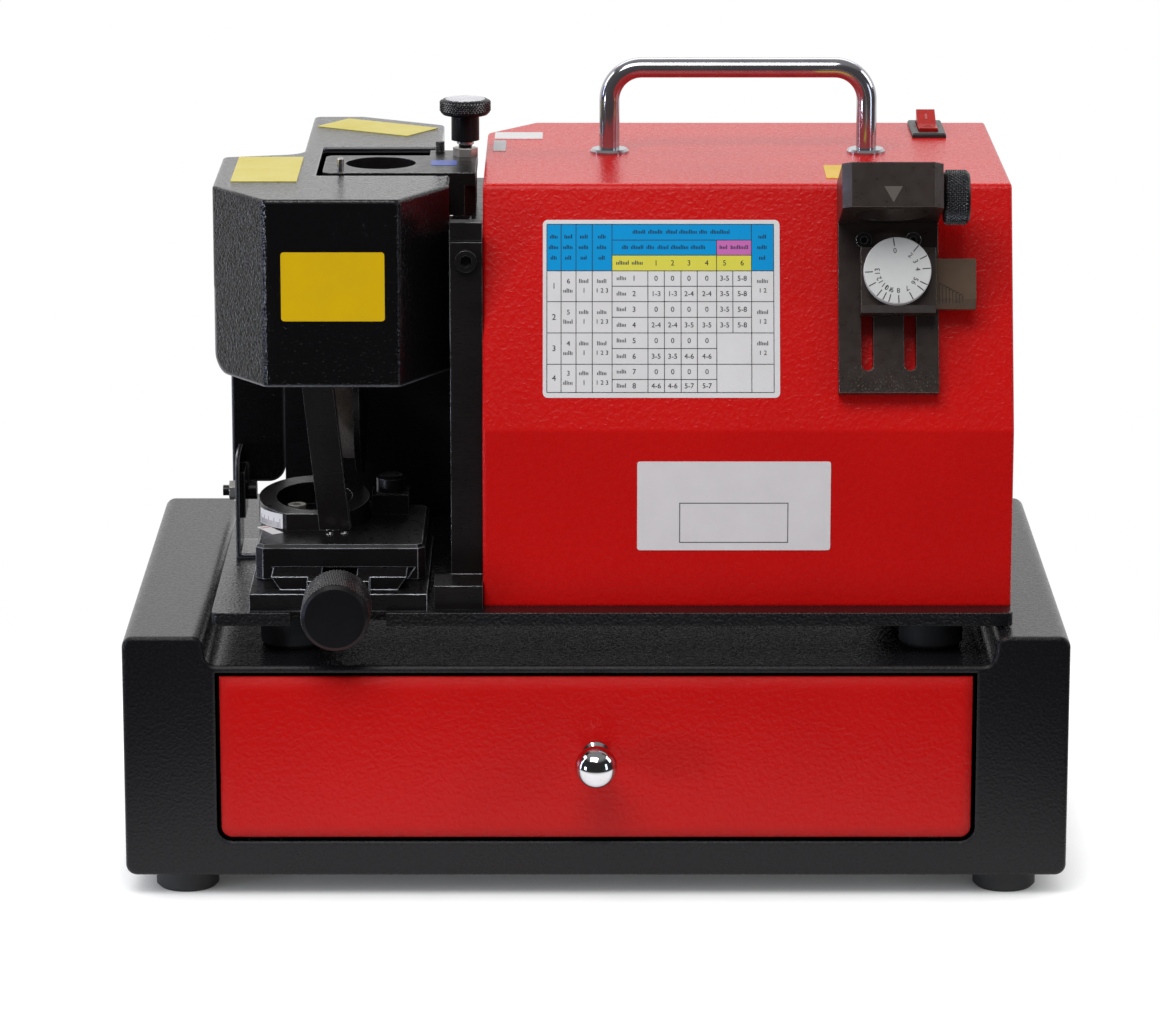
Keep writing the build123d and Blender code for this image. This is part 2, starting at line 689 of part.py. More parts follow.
def switch_body(room):
    """The part of the switch that drops through the cover."""
    across = SWITCH_BODY_WIDTH / 2 + room
    along = SWITCH_BODY_LENGTH / 2 + room
    return block((SWITCH_X - across, SWITCH_X + across), (SWITCH_Y - along, SWITCH_Y + along),
                 (COVER_TOP - SWITCH_BODY_DEPTH, COVER_TOP))


def rocker_pivots(diameter, length):
    """The two stub pivots at the rocker's sides."""
    reach = ROCKER_WIDTH / 2 + length
    return rod((SWITCH_X - reach, SWITCH_Y, COVER_TOP + SWITCH_BEZEL_HEIGHT - ROCKER_AXIS_DEPTH),
               ALONG_X, 2 * reach, diameter)


def rocker_sweep():
    """Half the length that the rocker needs to swing in."""
    return math.hypot(ROCKER_LENGTH / 2, ROCKER_END_RISE) + 2 * SLIDE_GAP


def switch_housing():
    high = COVER_TOP + SWITCH_BEZEL_HEIGHT
    across = SWITCH_BEZEL_WIDTH / 2
    along = SWITCH_BEZEL_LENGTH / 2
    bezel = block((SWITCH_X - across, SWITCH_X + across), (SWITCH_Y - along, SWITCH_Y + along),
                  (COVER_TOP, high))
    bezel = chamfer(bezel.faces().sort_by(Axis.Z)[-1].edges(), SWITCH_BEZEL_HEIGHT / 3)
    inside = ROCKER_WIDTH / 2 + SLIDE_GAP
    pocket = block((SWITCH_X - inside, SWITCH_X + inside),
                   (SWITCH_Y - rocker_sweep(), SWITCH_Y + rocker_sweep()),
                   (high - ROCKER_POCKET_DEPTH, high + SWITCH_BEZEL_HEIGHT))
    return bezel + switch_body(0) - pocket - rocker_pivots(ROCKER_PIVOT + 2 * RUN_FIT,
                                                           ROCKER_PIVOT_LENGTH + SLIDE_GAP)


def switch_rocker():
    """A shallow V-topped rocker that rests with its rear end up."""
    half = ROCKER_LENGTH / 2
    foot = ROCKER_POCKET_DEPTH - ROCKER_AXIS_DEPTH - half * math.sin(math.radians(ROCKER_TILT))
    face = outline((-half, ROCKER_END_RISE), (0, ROCKER_DIP), (half, ROCKER_END_RISE), (half, 0),
                   (half / 2, -foot / 2), (-half / 2, -foot / 2), (-half, 0))
    bar = run_across(Rot(0, 0, ROCKER_TILT) * face, SWITCH_X - ROCKER_WIDTH / 2, SWITCH_X + ROCKER_WIDTH / 2)
    axis = COVER_TOP + SWITCH_BEZEL_HEIGHT - ROCKER_AXIS_DEPTH
    return Pos(0, SWITCH_Y, axis) * bar + rocker_pivots(ROCKER_PIVOT, ROCKER_PIVOT_LENGTH)


def inlet_body(room):
    """The inlet's moulded body behind the cover's back."""
    across = INLET_BODY_WIDTH / 2 + room
    half = INLET_BODY_HEIGHT / 2 + room
    middle = DECK + INLET_HEIGHT
    return block((INLET_X - across, INLET_X + across), (COVER_BACK - INLET_BODY_DEPTH, COVER_BACK),
                 (middle - half, middle + half))


def power_inlet():
    middle = DECK + INLET_HEIGHT
    back = COVER_BACK + INLET_FLANGE_THICKNESS
    across = INLET_FLANGE_WIDTH / 2
    half = INLET_FLANGE_HEIGHT / 2
    flange = block((INLET_X - across, INLET_X + across), (COVER_BACK, back), (middle - half, middle + half))
    flange = fillet(flange.edges().filter_by(Axis.Y), INLET_WALL)
    inside = INLET_BODY_WIDTH / 2 - INLET_WALL
    rise = INLET_BODY_HEIGHT / 2 - INLET_WALL
    shape = outline((-inside, -rise), (inside, -rise), (inside, rise), (-inside, rise))
    shape = chamfer(shape.vertices().sort_by(Axis.Y)[2:], rise / 2)
    socket = Pos(INLET_X, 0, middle) * run_back(shape, back - INLET_SOCKET_DEPTH, back + INLET_WALL)
    return flange + inlet_body(0) - socket


def inlet_pins():
    """Three flat contact pins that stand in the inlet's socket."""
    floor = COVER_BACK + INLET_FLANGE_THICKNESS - INLET_SOCKET_DEPTH
    places = [(-INLET_PIN_PITCH, 0), (0, INLET_EARTH_RISE), (INLET_PIN_PITCH, 0)]
    return group(block((INLET_X + x - INLET_PIN_WIDTH / 2, INLET_X + x + INLET_PIN_WIDTH / 2),
                       (floor, floor + INLET_PIN_LENGTH),
                       (DECK + INLET_HEIGHT + z - INLET_PIN_HEIGHT / 2,
                        DECK + INLET_HEIGHT + z + INLET_PIN_HEIGHT / 2)) for x, z in places)


# End plate, motor and spindle

def end_plate():
    """The upright plate that carries the spindle, with a foot in front and a lip along its top."""
    plate = block((END_PLATE_LEFT, END_PLATE_RIGHT), (END_PLATE_FRONT, END_PLATE_BACK), (DECK, END_PLATE_TOP))
    foot = block((END_PLATE_RIGHT - END_FOOT_WIDTH, END_PLATE_RIGHT),
                 (END_PLATE_FRONT - END_FOOT_DEPTH, END_PLATE_FRONT), (DECK, DECK + END_FOOT_HEIGHT))
    lip = block((END_PLATE_LEFT, END_PLATE_RIGHT), (END_PLATE_FRONT, END_PLATE_FRONT + END_LIP_DEPTH),
                (END_PLATE_TOP, END_PLATE_TOP + END_LIP_HEIGHT))
    groove = block((END_PLATE_LEFT, END_PLATE_RIGHT), (END_PLATE_FRONT, END_PLATE_FRONT + END_GROOVE),
                   (END_PLATE_TOP - END_GROOVE / 2, END_PLATE_TOP + END_GROOVE / 2))
    plate = plate + foot + lip - groove
    middle = (END_PLATE_LEFT, SPINDLE_Y, SPINDLE_Z)
    plate -= rod(middle, ALONG_X, END_PLATE_THICKNESS, SPINDLE_DIAMETER + 2 * MOTOR_SHAFT_ROOM)
    plate -= rod(middle, ALONG_X, BEARING_WIDTH, BEARING_DIAMETER + 2 * SEAT_FIT)
    plate -= end_screw(SEAT_FIT)
    return plate - [rod((guide_pin_x(), y, END_PLATE_TOP - GUIDE_PIN_SEAT), ALONG_Z, GUIDE_PIN_SEAT,
                        GUIDE_PIN + 2 * SEAT_FIT) for y in guide_pin_places()]


def end_screw(room):
    """A cap screw let into the end plate's front edge, with radial room round it."""
    head = END_PLATE_FRONT + END_SCREW_HEAD_LENGTH - END_SCREW_PROUD
    tail = head + END_SCREW_LENGTH
    half = END_SCREW_DIAMETER / 2 + room
    rim = END_SCREW_HEAD / 2 + room
    shape = [(-END_SCREW_PROUD, 0), (-END_SCREW_PROUD, rim), (head - END_PLATE_FRONT, rim),
             (head - END_PLATE_FRONT, half), (tail - END_PLATE_FRONT, half), (tail - END_PLATE_FRONT, 0)]
    middle = (END_PLATE_LEFT + END_PLATE_RIGHT) / 2
    return turned(shape, (middle, END_PLATE_FRONT, END_PLATE_TOP - END_SCREW_DROP), ALONG_Y)


def end_plate_screw():
    socket = END_SCREW_DIAMETER * 5 / 6
    middle = (END_PLATE_LEFT + END_PLATE_RIGHT) / 2
    start = (middle, END_PLATE_FRONT - END_SCREW_PROUD, END_PLATE_TOP - END_SCREW_DROP)
    return end_screw(0) - hexagon(start, ALONG_Y, END_SCREW_HEAD_LENGTH / 2, socket)


def motor_body():
    """The motor's barrel with its end bells, its nose against the end plate and its cast foot."""
    nose = MOTOR_NOSE_LENGTH
    barrel = nose + MOTOR_LENGTH
    end = barrel + MOTOR_CAP_LENGTH
    radius = MOTOR_DIAMETER / 2
    bell = (radius + MOTOR_NOSE_DIAMETER / 2) / 2
    shape = [(0, 0), (0, MOTOR_NOSE_DIAMETER / 2), (nose, MOTOR_NOSE_DIAMETER / 2), (nose, bell),
             (2 * nose, radius), (barrel, radius), (barrel, MOTOR_CAP_DIAMETER / 2),
             (end - nose / 2, MOTOR_CAP_DIAMETER / 2), (end, MOTOR_CAP_DIAMETER / 2 - nose / 2), (end, 0)]
    start = (END_PLATE_RIGHT, SPINDLE_Y, SPINDLE_Z)
    middle = END_PLATE_RIGHT + nose + MOTOR_LENGTH / 2
    foot = block((middle - MOTOR_FOOT_LENGTH / 2, middle + MOTOR_FOOT_LENGTH / 2),
                 (SPINDLE_Y - MOTOR_FOOT_WIDTH / 2, SPINDLE_Y + MOTOR_FOOT_WIDTH / 2), (DECK, SPINDLE_Z))
    body = turned(shape, start, ALONG_X) + foot
    body -= rod(start, ALONG_X, barrel, SPINDLE_DIAMETER + 2 * MOTOR_SHAFT_ROOM)
    return body - rod(start, ALONG_X, BEARING_WIDTH, BEARING_DIAMETER + 2 * SEAT_FIT)


def spindle_bearings():
    """Two ball bearings, one let into the end plate and one into the motor's nose."""
    ring = [(0, SPINDLE_DIAMETER / 2 + SEAT_FIT), (0, BEARING_DIAMETER / 2),
            (BEARING_WIDTH, BEARING_DIAMETER / 2), (BEARING_WIDTH, SPINDLE_DIAMETER / 2 + SEAT_FIT)]
    return group(turned(ring, (x, SPINDLE_Y, SPINDLE_Z), ALONG_X) for x in (END_PLATE_LEFT, END_PLATE_RIGHT))


def wheel_stack(distance):
    """A point on the spindle's line, measured left from the back of the wheel's disc."""
    return (WHEEL_BACK - distance, SPINDLE_Y, SPINDLE_Z)


def spindle():
    """The motor's shaft with the flange that the wheel is clamped against."""
    shaft = SPINDLE_DIAMETER / 2
    back = WHEEL_OVERHANG + END_PLATE_THICKNESS + MOTOR_NOSE_LENGTH + MOTOR_LENGTH - MOTOR_SHAFT_ROOM
    tip = DISC_THICKNESS + WHEEL_WIDTH + NUT_LENGTH
    shape = [(-back, 0), (-back, shaft), (-SPINDLE_FLANGE_LENGTH, shaft),
             (-SPINDLE_FLANGE_LENGTH, SPINDLE_FLANGE / 2), (0, SPINDLE_FLANGE / 2), (0, shaft),
             (tip, shaft), (tip, 0)]
    return turned(shape, wheel_stack(0), (-1, 0, 0))


def wheel_disc():
    """The thin steel disc behind the wheel."""
    bore = SPINDLE_DIAMETER / 2 + SEAT_FIT
    shape = [(0, bore), (0, DISC_DIAMETER / 2), (DISC_THICKNESS, DISC_DIAMETER / 2), (DISC_THICKNESS, bore)]
    return turned(shape, wheel_stack(0), (-1, 0, 0))


def grinding_wheel():
    """The bonded wheel: flat back, straight rim and a coned grinding face round a flat hub."""
    bore = SPINDLE_DIAMETER / 2 + SEAT_FIT
    rim = WHEEL_DIAMETER / 2
    shape = [(0, bore), (0, rim), (WHEEL_WIDTH - WHEEL_TAPER, rim), (WHEEL_WIDTH, WHEEL_HUB_DIAMETER / 2),
             (WHEEL_WIDTH, bore)]
    return turned(shape, wheel_stack(DISC_THICKNESS), (-1, 0, 0))


def wheel_nut():
    start = wheel_stack(DISC_THICKNESS + WHEEL_WIDTH)
    nut = hexagon(start, (-1, 0, 0), NUT_LENGTH, NUT_FLATS)
    return nut - rod(start, (-1, 0, 0), NUT_LENGTH, SPINDLE_DIAMETER + 2 * SEAT_FIT)


# Wheel guard, shield and bracket

def slot_front():
    return PORT_Y - PORT_FRONT_REACH - GUARD_SLOT_GAP


def slot_back():
    return PORT_Y + PORT_LUG_REACH + GUARD_SLOT_GAP


def guard_plan():
    """The guard from above: chamfered front, straight left side, and a narrower neck behind."""
    neck_right = GUARD_RIGHT - GUARD_NECK_INSET
    return outline((GUARD_FRONT_LEFT, GUARD_FRONT), (GUARD_FRONT_LEFT + GUARD_FRONT_WIDTH, GUARD_FRONT),
                   (GUARD_RIGHT, GUARD_RIGHT_CORNER_Y), (GUARD_RIGHT, slot_front()),
                   (neck_right, slot_back()), (neck_right, GUARD_BACK - GUARD_BACK_SLANT),
                   (GUARD_NECK_LEFT + GUARD_BACK_WIDTH, GUARD_BACK), (GUARD_NECK_LEFT, GUARD_BACK),
                   (GUARD_NECK_LEFT, GUARD_STEP_Y + GUARD_STEP_RISE), (GUARD_LEFT, GUARD_STEP_Y),
                   (GUARD_LEFT, GUARD_LEFT_CORNER_Y))


def rounded_guard(face, bend, nook_bend):
    """A guard plan with its outward corners bent to one radius and its inward nook to another."""
    nook = (GUARD_NECK_LEFT, GUARD_STEP_Y + GUARD_STEP_RISE)
    face = fillet(face.vertices().sort_by_distance(nook)[1:], bend)
    return fillet(face.vertices().sort_by_distance(nook)[0], nook_bend)


def guard_corner():
    """What rounds the lower rear corner of the guard's left chamfer."""
    back = Vector(GUARD_LEFT, GUARD_LEFT_CORNER_Y, GUARD_LOW)
    front = Vector(GUARD_FRONT_LEFT, GUARD_FRONT, GUARD_LOW)
    along = (front - back).normalized()
    panel = Plane(back, x_dir=along, z_dir=along.cross(Vector(0, 0, 1)))
    radius = GUARD_CORNER_CUT
    corner = Rectangle(2 * radius, 2 * radius) - Pos(radius, radius) * Circle(radius)
    return extrude(panel * corner, 3 * GUARD_SHEET, both=True)


def guard_slot():
    """The opening in the guard's top and right side that the top port stands in."""
    left = PORT_X - PORT_LEFT_REACH - GUARD_SLOT_END_GAP
    right = END_PLATE_RIGHT
    face = outline((left, slot_front()), (right, slot_front()), (right, slot_back()), (left, slot_back()))
    face = fillet(face.vertices().sort_by(Axis.X)[:2], GUARD_SLOT_CORNER)
    side = block((GUARD_RIGHT - 2 * GUARD_NECK_INSET, right), (slot_front(), slot_back()), (0, GUARD_TOP))
    return run_up(face, GUARD_TOP - 2 * GUARD_SHEET, GUARD_TOP + GUARD_SHEET) + side


def guard_tab(middle):
    """A tab on the guard's right wall that rests on the end plate."""
    return block((GUARD_RIGHT - GUARD_NECK_INSET - GUARD_SHEET, END_PLATE_LEFT + GUARD_TAB_REACH),
                 (middle - GUARD_TAB_LENGTH / 2, middle + GUARD_TAB_LENGTH / 2),
                 (END_PLATE_TOP, END_PLATE_TOP + GUARD_TAB_THICKNESS))


def wheel_guard():
    outer = run_up(rounded_guard(guard_plan(), GUARD_BEND, GUARD_STEP_RADIUS), GUARD_LOW, GUARD_TOP)
    outer = fillet(outer.faces().sort_by(Axis.Z)[-1].edges(), GUARD_SHEET / 2)
    inside = offset(guard_plan(), -GUARD_SHEET, kind=Kind.INTERSECTION)
    inside = rounded_guard(inside, GUARD_BEND - GUARD_SHEET, GUARD_STEP_RADIUS + GUARD_SHEET)
    shell = outer - run_up(inside, GUARD_LOW - GUARD_SHEET, GUARD_TOP - GUARD_SHEET)
    front_tab = guard_tab(slot_front() - GUARD_TAB_INSET - GUARD_TAB_LENGTH / 2)
    rear_tab = guard_tab(slot_back() + GUARD_TAB_INSET + GUARD_TAB_LENGTH / 2)
    shell = shell + front_tab + rear_tab
    shell -= guard_slot()
    raised = block((GUARD_LEFT - GUARD_SHEET, GUARD_NECK_LEFT - GUARD_SHEET),
                   (GUARD_LEFT_CORNER_Y, GUARD_STEP_Y + GUARD_STEP_RISE + GUARD_SHEET),
                   (GUARD_LOW - GUARD_SHEET, DECK + GUARD_PORT_HEIGHT))
    chuck = PORT_RING / 2 + GUARD_CHUCK_GAP
    doorway = block((REAR_X - chuck, REAR_X + chuck), (REAR_RING_FRONT + REAR_RING_LENGTH, CABINET_DEPTH),
                    (GUARD_LOW - GUARD_SHEET, REAR_Z + chuck))
    return shell - raised - doorway - guard_corner()


def bracket_screw_line():
    """Where the bracket screw's line crosses the bracket's left face."""
    return (BRACKET_LEFT, SHIELD_Y - SHIELD_FLANGE_DEPTH / 2, DECK + BRACKET_SCREW_HEIGHT)


def bracket_screw_hole():
    room = BRACKET_SHEET + SHIELD_SHEET
    x, y, z = bracket_screw_line()
    return rod((x - room, y, z), ALONG_X, 3 * room, BRACKET_SCREW + 2 * SCREW_ROOM)


def side_shield():
    """A bent sheet: a narrow panel facing forward and a flange along the bracket."""
    right = SHIELD_LEFT + SHIELD_WIDTH
    low = DECK + SHIELD_LOW
    high = DECK + SHIELD_HIGH
    face = outline((SHIELD_LEFT, low), (right, low), (right, high), (SHIELD_LEFT, high))
    face = fillet(face.vertices().sort_by_distance((right, low))[0], SHIELD_CORNER)
    panel = run_back(face, SHIELD_Y, SHIELD_Y + SHIELD_SHEET)
    inner = BRACKET_LEFT + BRACKET_SHEET
    flange = block((inner, inner + SHIELD_SHEET), (SHIELD_Y - SHIELD_FLANGE_DEPTH, SHIELD_Y + SHIELD_SHEET),
                   (DECK + BRACKET_SCREW_HEIGHT - SHIELD_FLANGE_HEIGHT / 2,
                    DECK + BRACKET_SCREW_HEIGHT + SHIELD_FLANGE_HEIGHT / 2))
    return panel + flange - bracket_screw_hole()


def side_bracket():
    """An angle on the base plate that holds the shield."""
    front = SHIELD_Y - BRACKET_DEPTH
    high = DECK + BRACKET_HEIGHT
    face = outline((front, DECK), (SHIELD_Y, DECK), (SHIELD_Y, high), (front, high))
    face = fillet(face.vertices().sort_by_distance((front, high))[0], BRACKET_CORNER)
    wall = run_across(face, BRACKET_LEFT, BRACKET_LEFT + BRACKET_SHEET)
    foot = block((BRACKET_LEFT, BRACKET_LEFT + BRACKET_FOOT), (front, SHIELD_Y), (DECK, DECK + BRACKET_SHEET))
    return wall + foot - bracket_screw_hole()


def bracket_screw():
    x, y, z = bracket_screw_line()
    grip = BRACKET_SHEET + SHIELD_SHEET
    tail = BRACKET_NUT_LENGTH + BRACKET_SCREW_TAIL
    head = rod((x + grip, y, z), ALONG_X, BRACKET_SCREW_HEAD_LENGTH, BRACKET_SCREW_HEAD)
    return head + rod((x - tail, y, z), ALONG_X, tail + grip, BRACKET_SCREW)


def bracket_nut():
    nut = hexagon(bracket_screw_line(), (-1, 0, 0), BRACKET_NUT_LENGTH, BRACKET_NUT_FLATS)
    return nut - rod(bracket_screw_line(), (-1, 0, 0), BRACKET_NUT_LENGTH, BRACKET_SCREW + 2 * SEAT_FIT)


# Top port

def guide_pin_x():
    return PORT_RIGHT - PORT_LEG_WIDTH / 2


def guide_pin_places():
    front = PORT_Y - PORT_FRONT_REACH
    return (front + GUIDE_PIN_INSET, front + PORT_LEG_DEPTH - GUIDE_PIN_INSET)


def set_screw_place():
    return (PORT_RIGHT - PORT_LUG_WIDTH + SET_SCREW_INSET, PORT_Y + PORT_LUG_REACH - SET_SCREW_INSET)


def locating_pin_place():
    return (PORT_X - PORT_LEFT_REACH + LOCATING_PIN_INSET_X, PORT_Y - PORT_FRONT_REACH + LOCATING_PIN_INSET_Y)


def top_port_plate():
    """A plate with the chuck bore, a lug for the depth knob, and a leg guided on two pins."""
    left = PORT_X - PORT_LEFT_REACH
    front = PORT_Y - PORT_FRONT_REACH
    back = PORT_Y + PORT_BACK_REACH
    lug = PORT_Y + PORT_LUG_REACH
    face = outline((left, front), (PORT_RIGHT, front), (PORT_RIGHT, lug), (PORT_RIGHT - PORT_LUG_WIDTH, lug),
                   (PORT_RIGHT - PORT_LUG_WIDTH, back), (left, back))
    face = fillet(face.vertices().sort_by(Axis.X)[:2], PORT_CORNER)
    plate = run_up(face, PORT_LOW, PORT_TOP)
    leg = outline((PORT_RIGHT - PORT_LEG_WIDTH, front), (PORT_RIGHT - PORT_LEG_CHAMFER, front),
                  (PORT_RIGHT, front + PORT_LEG_CHAMFER), (PORT_RIGHT, front + PORT_LEG_DEPTH),
                  (PORT_RIGHT - PORT_LEG_WIDTH, front + PORT_LEG_DEPTH))
    plate += run_up(leg, END_PLATE_TOP + PORT_LEG_GAP, PORT_LOW)
    plate -= rod((PORT_X, PORT_Y, PORT_LOW), ALONG_Z, PORT_PLATE_THICKNESS, CHUCK_BORE)
    plate -= rod((DEPTH_KNOB_X, DEPTH_KNOB_Y, PORT_LOW), ALONG_Z, PORT_PLATE_THICKNESS,
                 DEPTH_STEM + 2 * RUN_FIT)
    plate -= rod((*set_screw_place(), PORT_LOW), ALONG_Z, PORT_PLATE_THICKNESS, SET_SCREW + 2 * SEAT_FIT)
    plate -= rod((*locating_pin_place(), PORT_TOP - LOCATING_PIN_SEAT), ALONG_Z, LOCATING_PIN_SEAT,
                 LOCATING_PIN + 2 * SEAT_FIT)
    pin_room = END_PLATE_TOP + GUIDE_PIN_REACH + PORT_LEG_GAP
    return plate - [rod((guide_pin_x(), y, END_PLATE_TOP), ALONG_Z, pin_room - END_PLATE_TOP,
                        GUIDE_PIN + 2 * RUN_FIT) for y in guide_pin_places()]


def port_locating_pin():
    length = LOCATING_PIN_SEAT + LOCATING_PIN_HEIGHT
    pin = rod((*locating_pin_place(), PORT_TOP - LOCATING_PIN_SEAT), ALONG_Z, length, LOCATING_PIN)
    return chamfer(pin.edges().sort_by(Axis.Z)[-1], LOCATING_PIN / 6)


def port_guide_pins():
    """Two dowels in the end plate that the port's leg slides on."""
    return group(rod((guide_pin_x(), y, END_PLATE_TOP - GUIDE_PIN_SEAT), ALONG_Z,
                     GUIDE_PIN_SEAT + GUIDE_PIN_REACH, GUIDE_PIN) for y in guide_pin_places())


def port_set_screw():
    return rod((*set_screw_place(), PORT_LOW), ALONG_Z, PORT_PLATE_THICKNESS + SET_SCREW_HEIGHT, SET_SCREW)


def depth_nut():
    start = (DEPTH_KNOB_X, DEPTH_KNOB_Y, PORT_TOP)
    nut = hexagon(start, ALONG_Z, DEPTH_NUT_HEIGHT, DEPTH_NUT_FLATS)
    return nut - rod(start, ALONG_Z, DEPTH_NUT_HEIGHT, DEPTH_STEM + 2 * RUN_FIT)


def depth_knob():
    """A turned knob whose threaded stem stands on the end plate and carries the port plate."""
    stem = DEPTH_STEM / 2
    neck = PORT_TOP + DEPTH_NUT_HEIGHT + DEPTH_NECK_GAP - END_PLATE_TOP
    head = neck + DEPTH_NECK_LENGTH
    top = head + DEPTH_HEAD_HEIGHT
    rim = DEPTH_HEAD / 2
    edge = DEPTH_HEAD_CHAMFER
    shape = [(0, 0), (0, stem), (neck, stem), (neck, DEPTH_NECK / 2), (head, DEPTH_NECK / 2),
             (head, rim - edge), (head + edge, rim), (top - edge, rim), (top, rim - edge), (top, 0)]
    return turned(shape, (DEPTH_KNOB_X, DEPTH_KNOB_Y, END_PLATE_TOP), ALONG_Z)


# Primary-angle slide

def dovetail_half(z):
    """Half the dovetail's width at a height."""
    return DOVETAIL_FOOT / 2 + DOVETAIL_FLARE * (z - SLIDE_TOP) / DOVETAIL_HEIGHT


def dovetail(low, high, left, right):
    """The dovetail's section between two heights, with room at its left and right flanks."""
    return outline((FEED_X - dovetail_half(low) - left, low), (FEED_X + dovetail_half(low) + right, low),
                   (FEED_X + dovetail_half(high) + right, high), (FEED_X - dovetail_half(high) - left, high))


def slide_base():
    """The fixed half of the slide: a plate, two dovetail rails and the wall that carries the screw."""
    half = SLIDE_BASE_WIDTH / 2
    back = SLIDE_BASE_FRONT + SLIDE_BASE_LENGTH
    rails = SLIDE_BASE_FRONT + SLIDE_WALL
    groove = FEED_GROOVE / 2
    wall = SLIDE_WALL_WIDTH / 2
    base = block((FEED_X - half, FEED_X + half), (SLIDE_BASE_FRONT, back), (DECK, SLIDE_TOP))
    base += run_back(dovetail(SLIDE_TOP, SLIDE_TOP + DOVETAIL_HEIGHT, 0, 0), rails, back)
    base -= block((FEED_X - groove, FEED_X + groove), (rails, back),
                  (DECK + FEED_GROOVE_FLOOR, SLIDE_TOP + DOVETAIL_HEIGHT))
    base += block((FEED_X - wall, FEED_X + wall), (SLIDE_BASE_FRONT, rails),
                  (SLIDE_TOP, SLIDE_TOP + DOVETAIL_HEIGHT))
    return base - rod((FEED_X, SLIDE_BASE_FRONT, FEED_Z), ALONG_Y, SLIDE_WALL, FEED_SPIGOT + 2 * RUN_FIT)


def feed_screw():
    """The feed screw: a thin spigot through the wall into the knob, then the threaded length."""
    front = SLIDE_BASE_FRONT - FEED_KNOB_GAP - FEED_KNOB_BORE_DEPTH
    shoulder = SLIDE_BASE_FRONT + SLIDE_WALL + SLIDE_GAP - front
    end = SLIDE_BASE_FRONT + SLIDE_BASE_LENGTH - FEED_SCREW_SETBACK - front
    shape = [(0, 0), (0, FEED_SPIGOT / 2), (shoulder, FEED_SPIGOT / 2), (shoulder, FEED_SCREW / 2),
             (end, FEED_SCREW / 2), (end, 0)]
    return turned(shape, (FEED_X, front, FEED_Z), ALONG_Y)


def feed_knob():
    back = SLIDE_BASE_FRONT - FEED_KNOB_GAP
    rim = FEED_KNOB / 2
    edge = FEED_KNOB_CHAMFER
    bore = FEED_SPIGOT / 2 + SEAT_FIT
    shape = [(0, bore), (0, rim - edge), (edge, rim), (FEED_KNOB_LENGTH - edge, rim),
             (FEED_KNOB_LENGTH, rim - edge), (FEED_KNOB_LENGTH, 0), (FEED_KNOB_BORE_DEPTH, 0),
             (FEED_KNOB_BORE_DEPTH, bore)]
    return turned(shape, (FEED_X, back, FEED_Z), (0, -1, 0))


def carriage_roof():
    """The ceiling of the dovetail groove inside the carriage."""
    return SLIDE_TOP + DOVETAIL_HEIGHT + SLIDE_GAP


def cradle_screw_places():
    half = CRADLE_SCREW_SPACING / 2
    return [(CRADLE_X - half, CRADLE_Y), (CRADLE_X + half, CRADLE_Y)]


def slide_carriage():
    """The moving half of the slide, with a dovetail groove and room for the gib."""
    half = CARRIAGE_WIDTH / 2
    back = CARRIAGE_FRONT + CARRIAGE_LENGTH
    body = block((FEED_X - half, FEED_X + half), (CARRIAGE_FRONT, back), (CARRIAGE_LOW, CARRIAGE_TOP))
    body = chamfer(body.edges().filter_by(Axis.Z), CARRIAGE_CORNER)
    body = chamfer(body.faces().sort_by(Axis.Z)[-1].edges(), CARRIAGE_CHAMFER)
    body -= run_back(dovetail(CARRIAGE_LOW, carriage_roof(), SLIDE_GAP, SLIDE_GAP + GIB_THICKNESS),
                     CARRIAGE_FRONT, back)
    depth = CRADLE_SCREW_LENGTH - CRADLE_FLOOR
    return body - [rod((x, y, CARRIAGE_TOP - depth), ALONG_Z, depth, CRADLE_SCREW + 2 * SEAT_FIT)
                   for x, y in cradle_screw_places()]


def feed_nut():
    """A half nut under the carriage that rides on the feed screw."""
    half = FEED_NUT_WIDTH / 2
    front = CARRIAGE_FRONT + FEED_NUT_SETBACK
    nut = block((FEED_X - half, FEED_X + half), (front, front + FEED_NUT_LENGTH), (FEED_Z, carriage_roof()))
    return nut - rod((FEED_X, front, FEED_Z), ALONG_Y, FEED_NUT_LENGTH, FEED_SCREW + 2 * RUN_FIT)


def gib_strip():
    """The strip that takes up the slide's play, seated on the carriage's right flank."""
    inner = FEED_X + SLIDE_GAP
    outer = inner + GIB_THICKNESS
    low = CARRIAGE_LOW
    high = carriage_roof()
    face = outline((inner + dovetail_half(low), low), (outer + dovetail_half(low), low),
                   (outer + dovetail_half(high), high), (inner + dovetail_half(high), high))
    return run_back(face, CARRIAGE_FRONT + GIB_INSET, CARRIAGE_FRONT + CARRIAGE_LENGTH - GIB_INSET)


def carriage_boss():
    """A small square foot with a round boss, screwed to the carriage."""
    half = BOSS_FOOT / 2
    foot = block((BOSS_X - half, BOSS_X + half), (BOSS_Y - half, BOSS_Y + half),
                 (CARRIAGE_TOP, CARRIAGE_TOP + BOSS_FOOT_HEIGHT))
    boss = rod((BOSS_X, BOSS_Y, CARRIAGE_TOP), ALONG_Z, BOSS_HEIGHT, BOSS_DIAMETER)
    return foot + chamfer(boss.edges().sort_by(Axis.Z)[-1], CARRIAGE_CHAMFER)


# Swivel cradle with the guide bar and the primary port

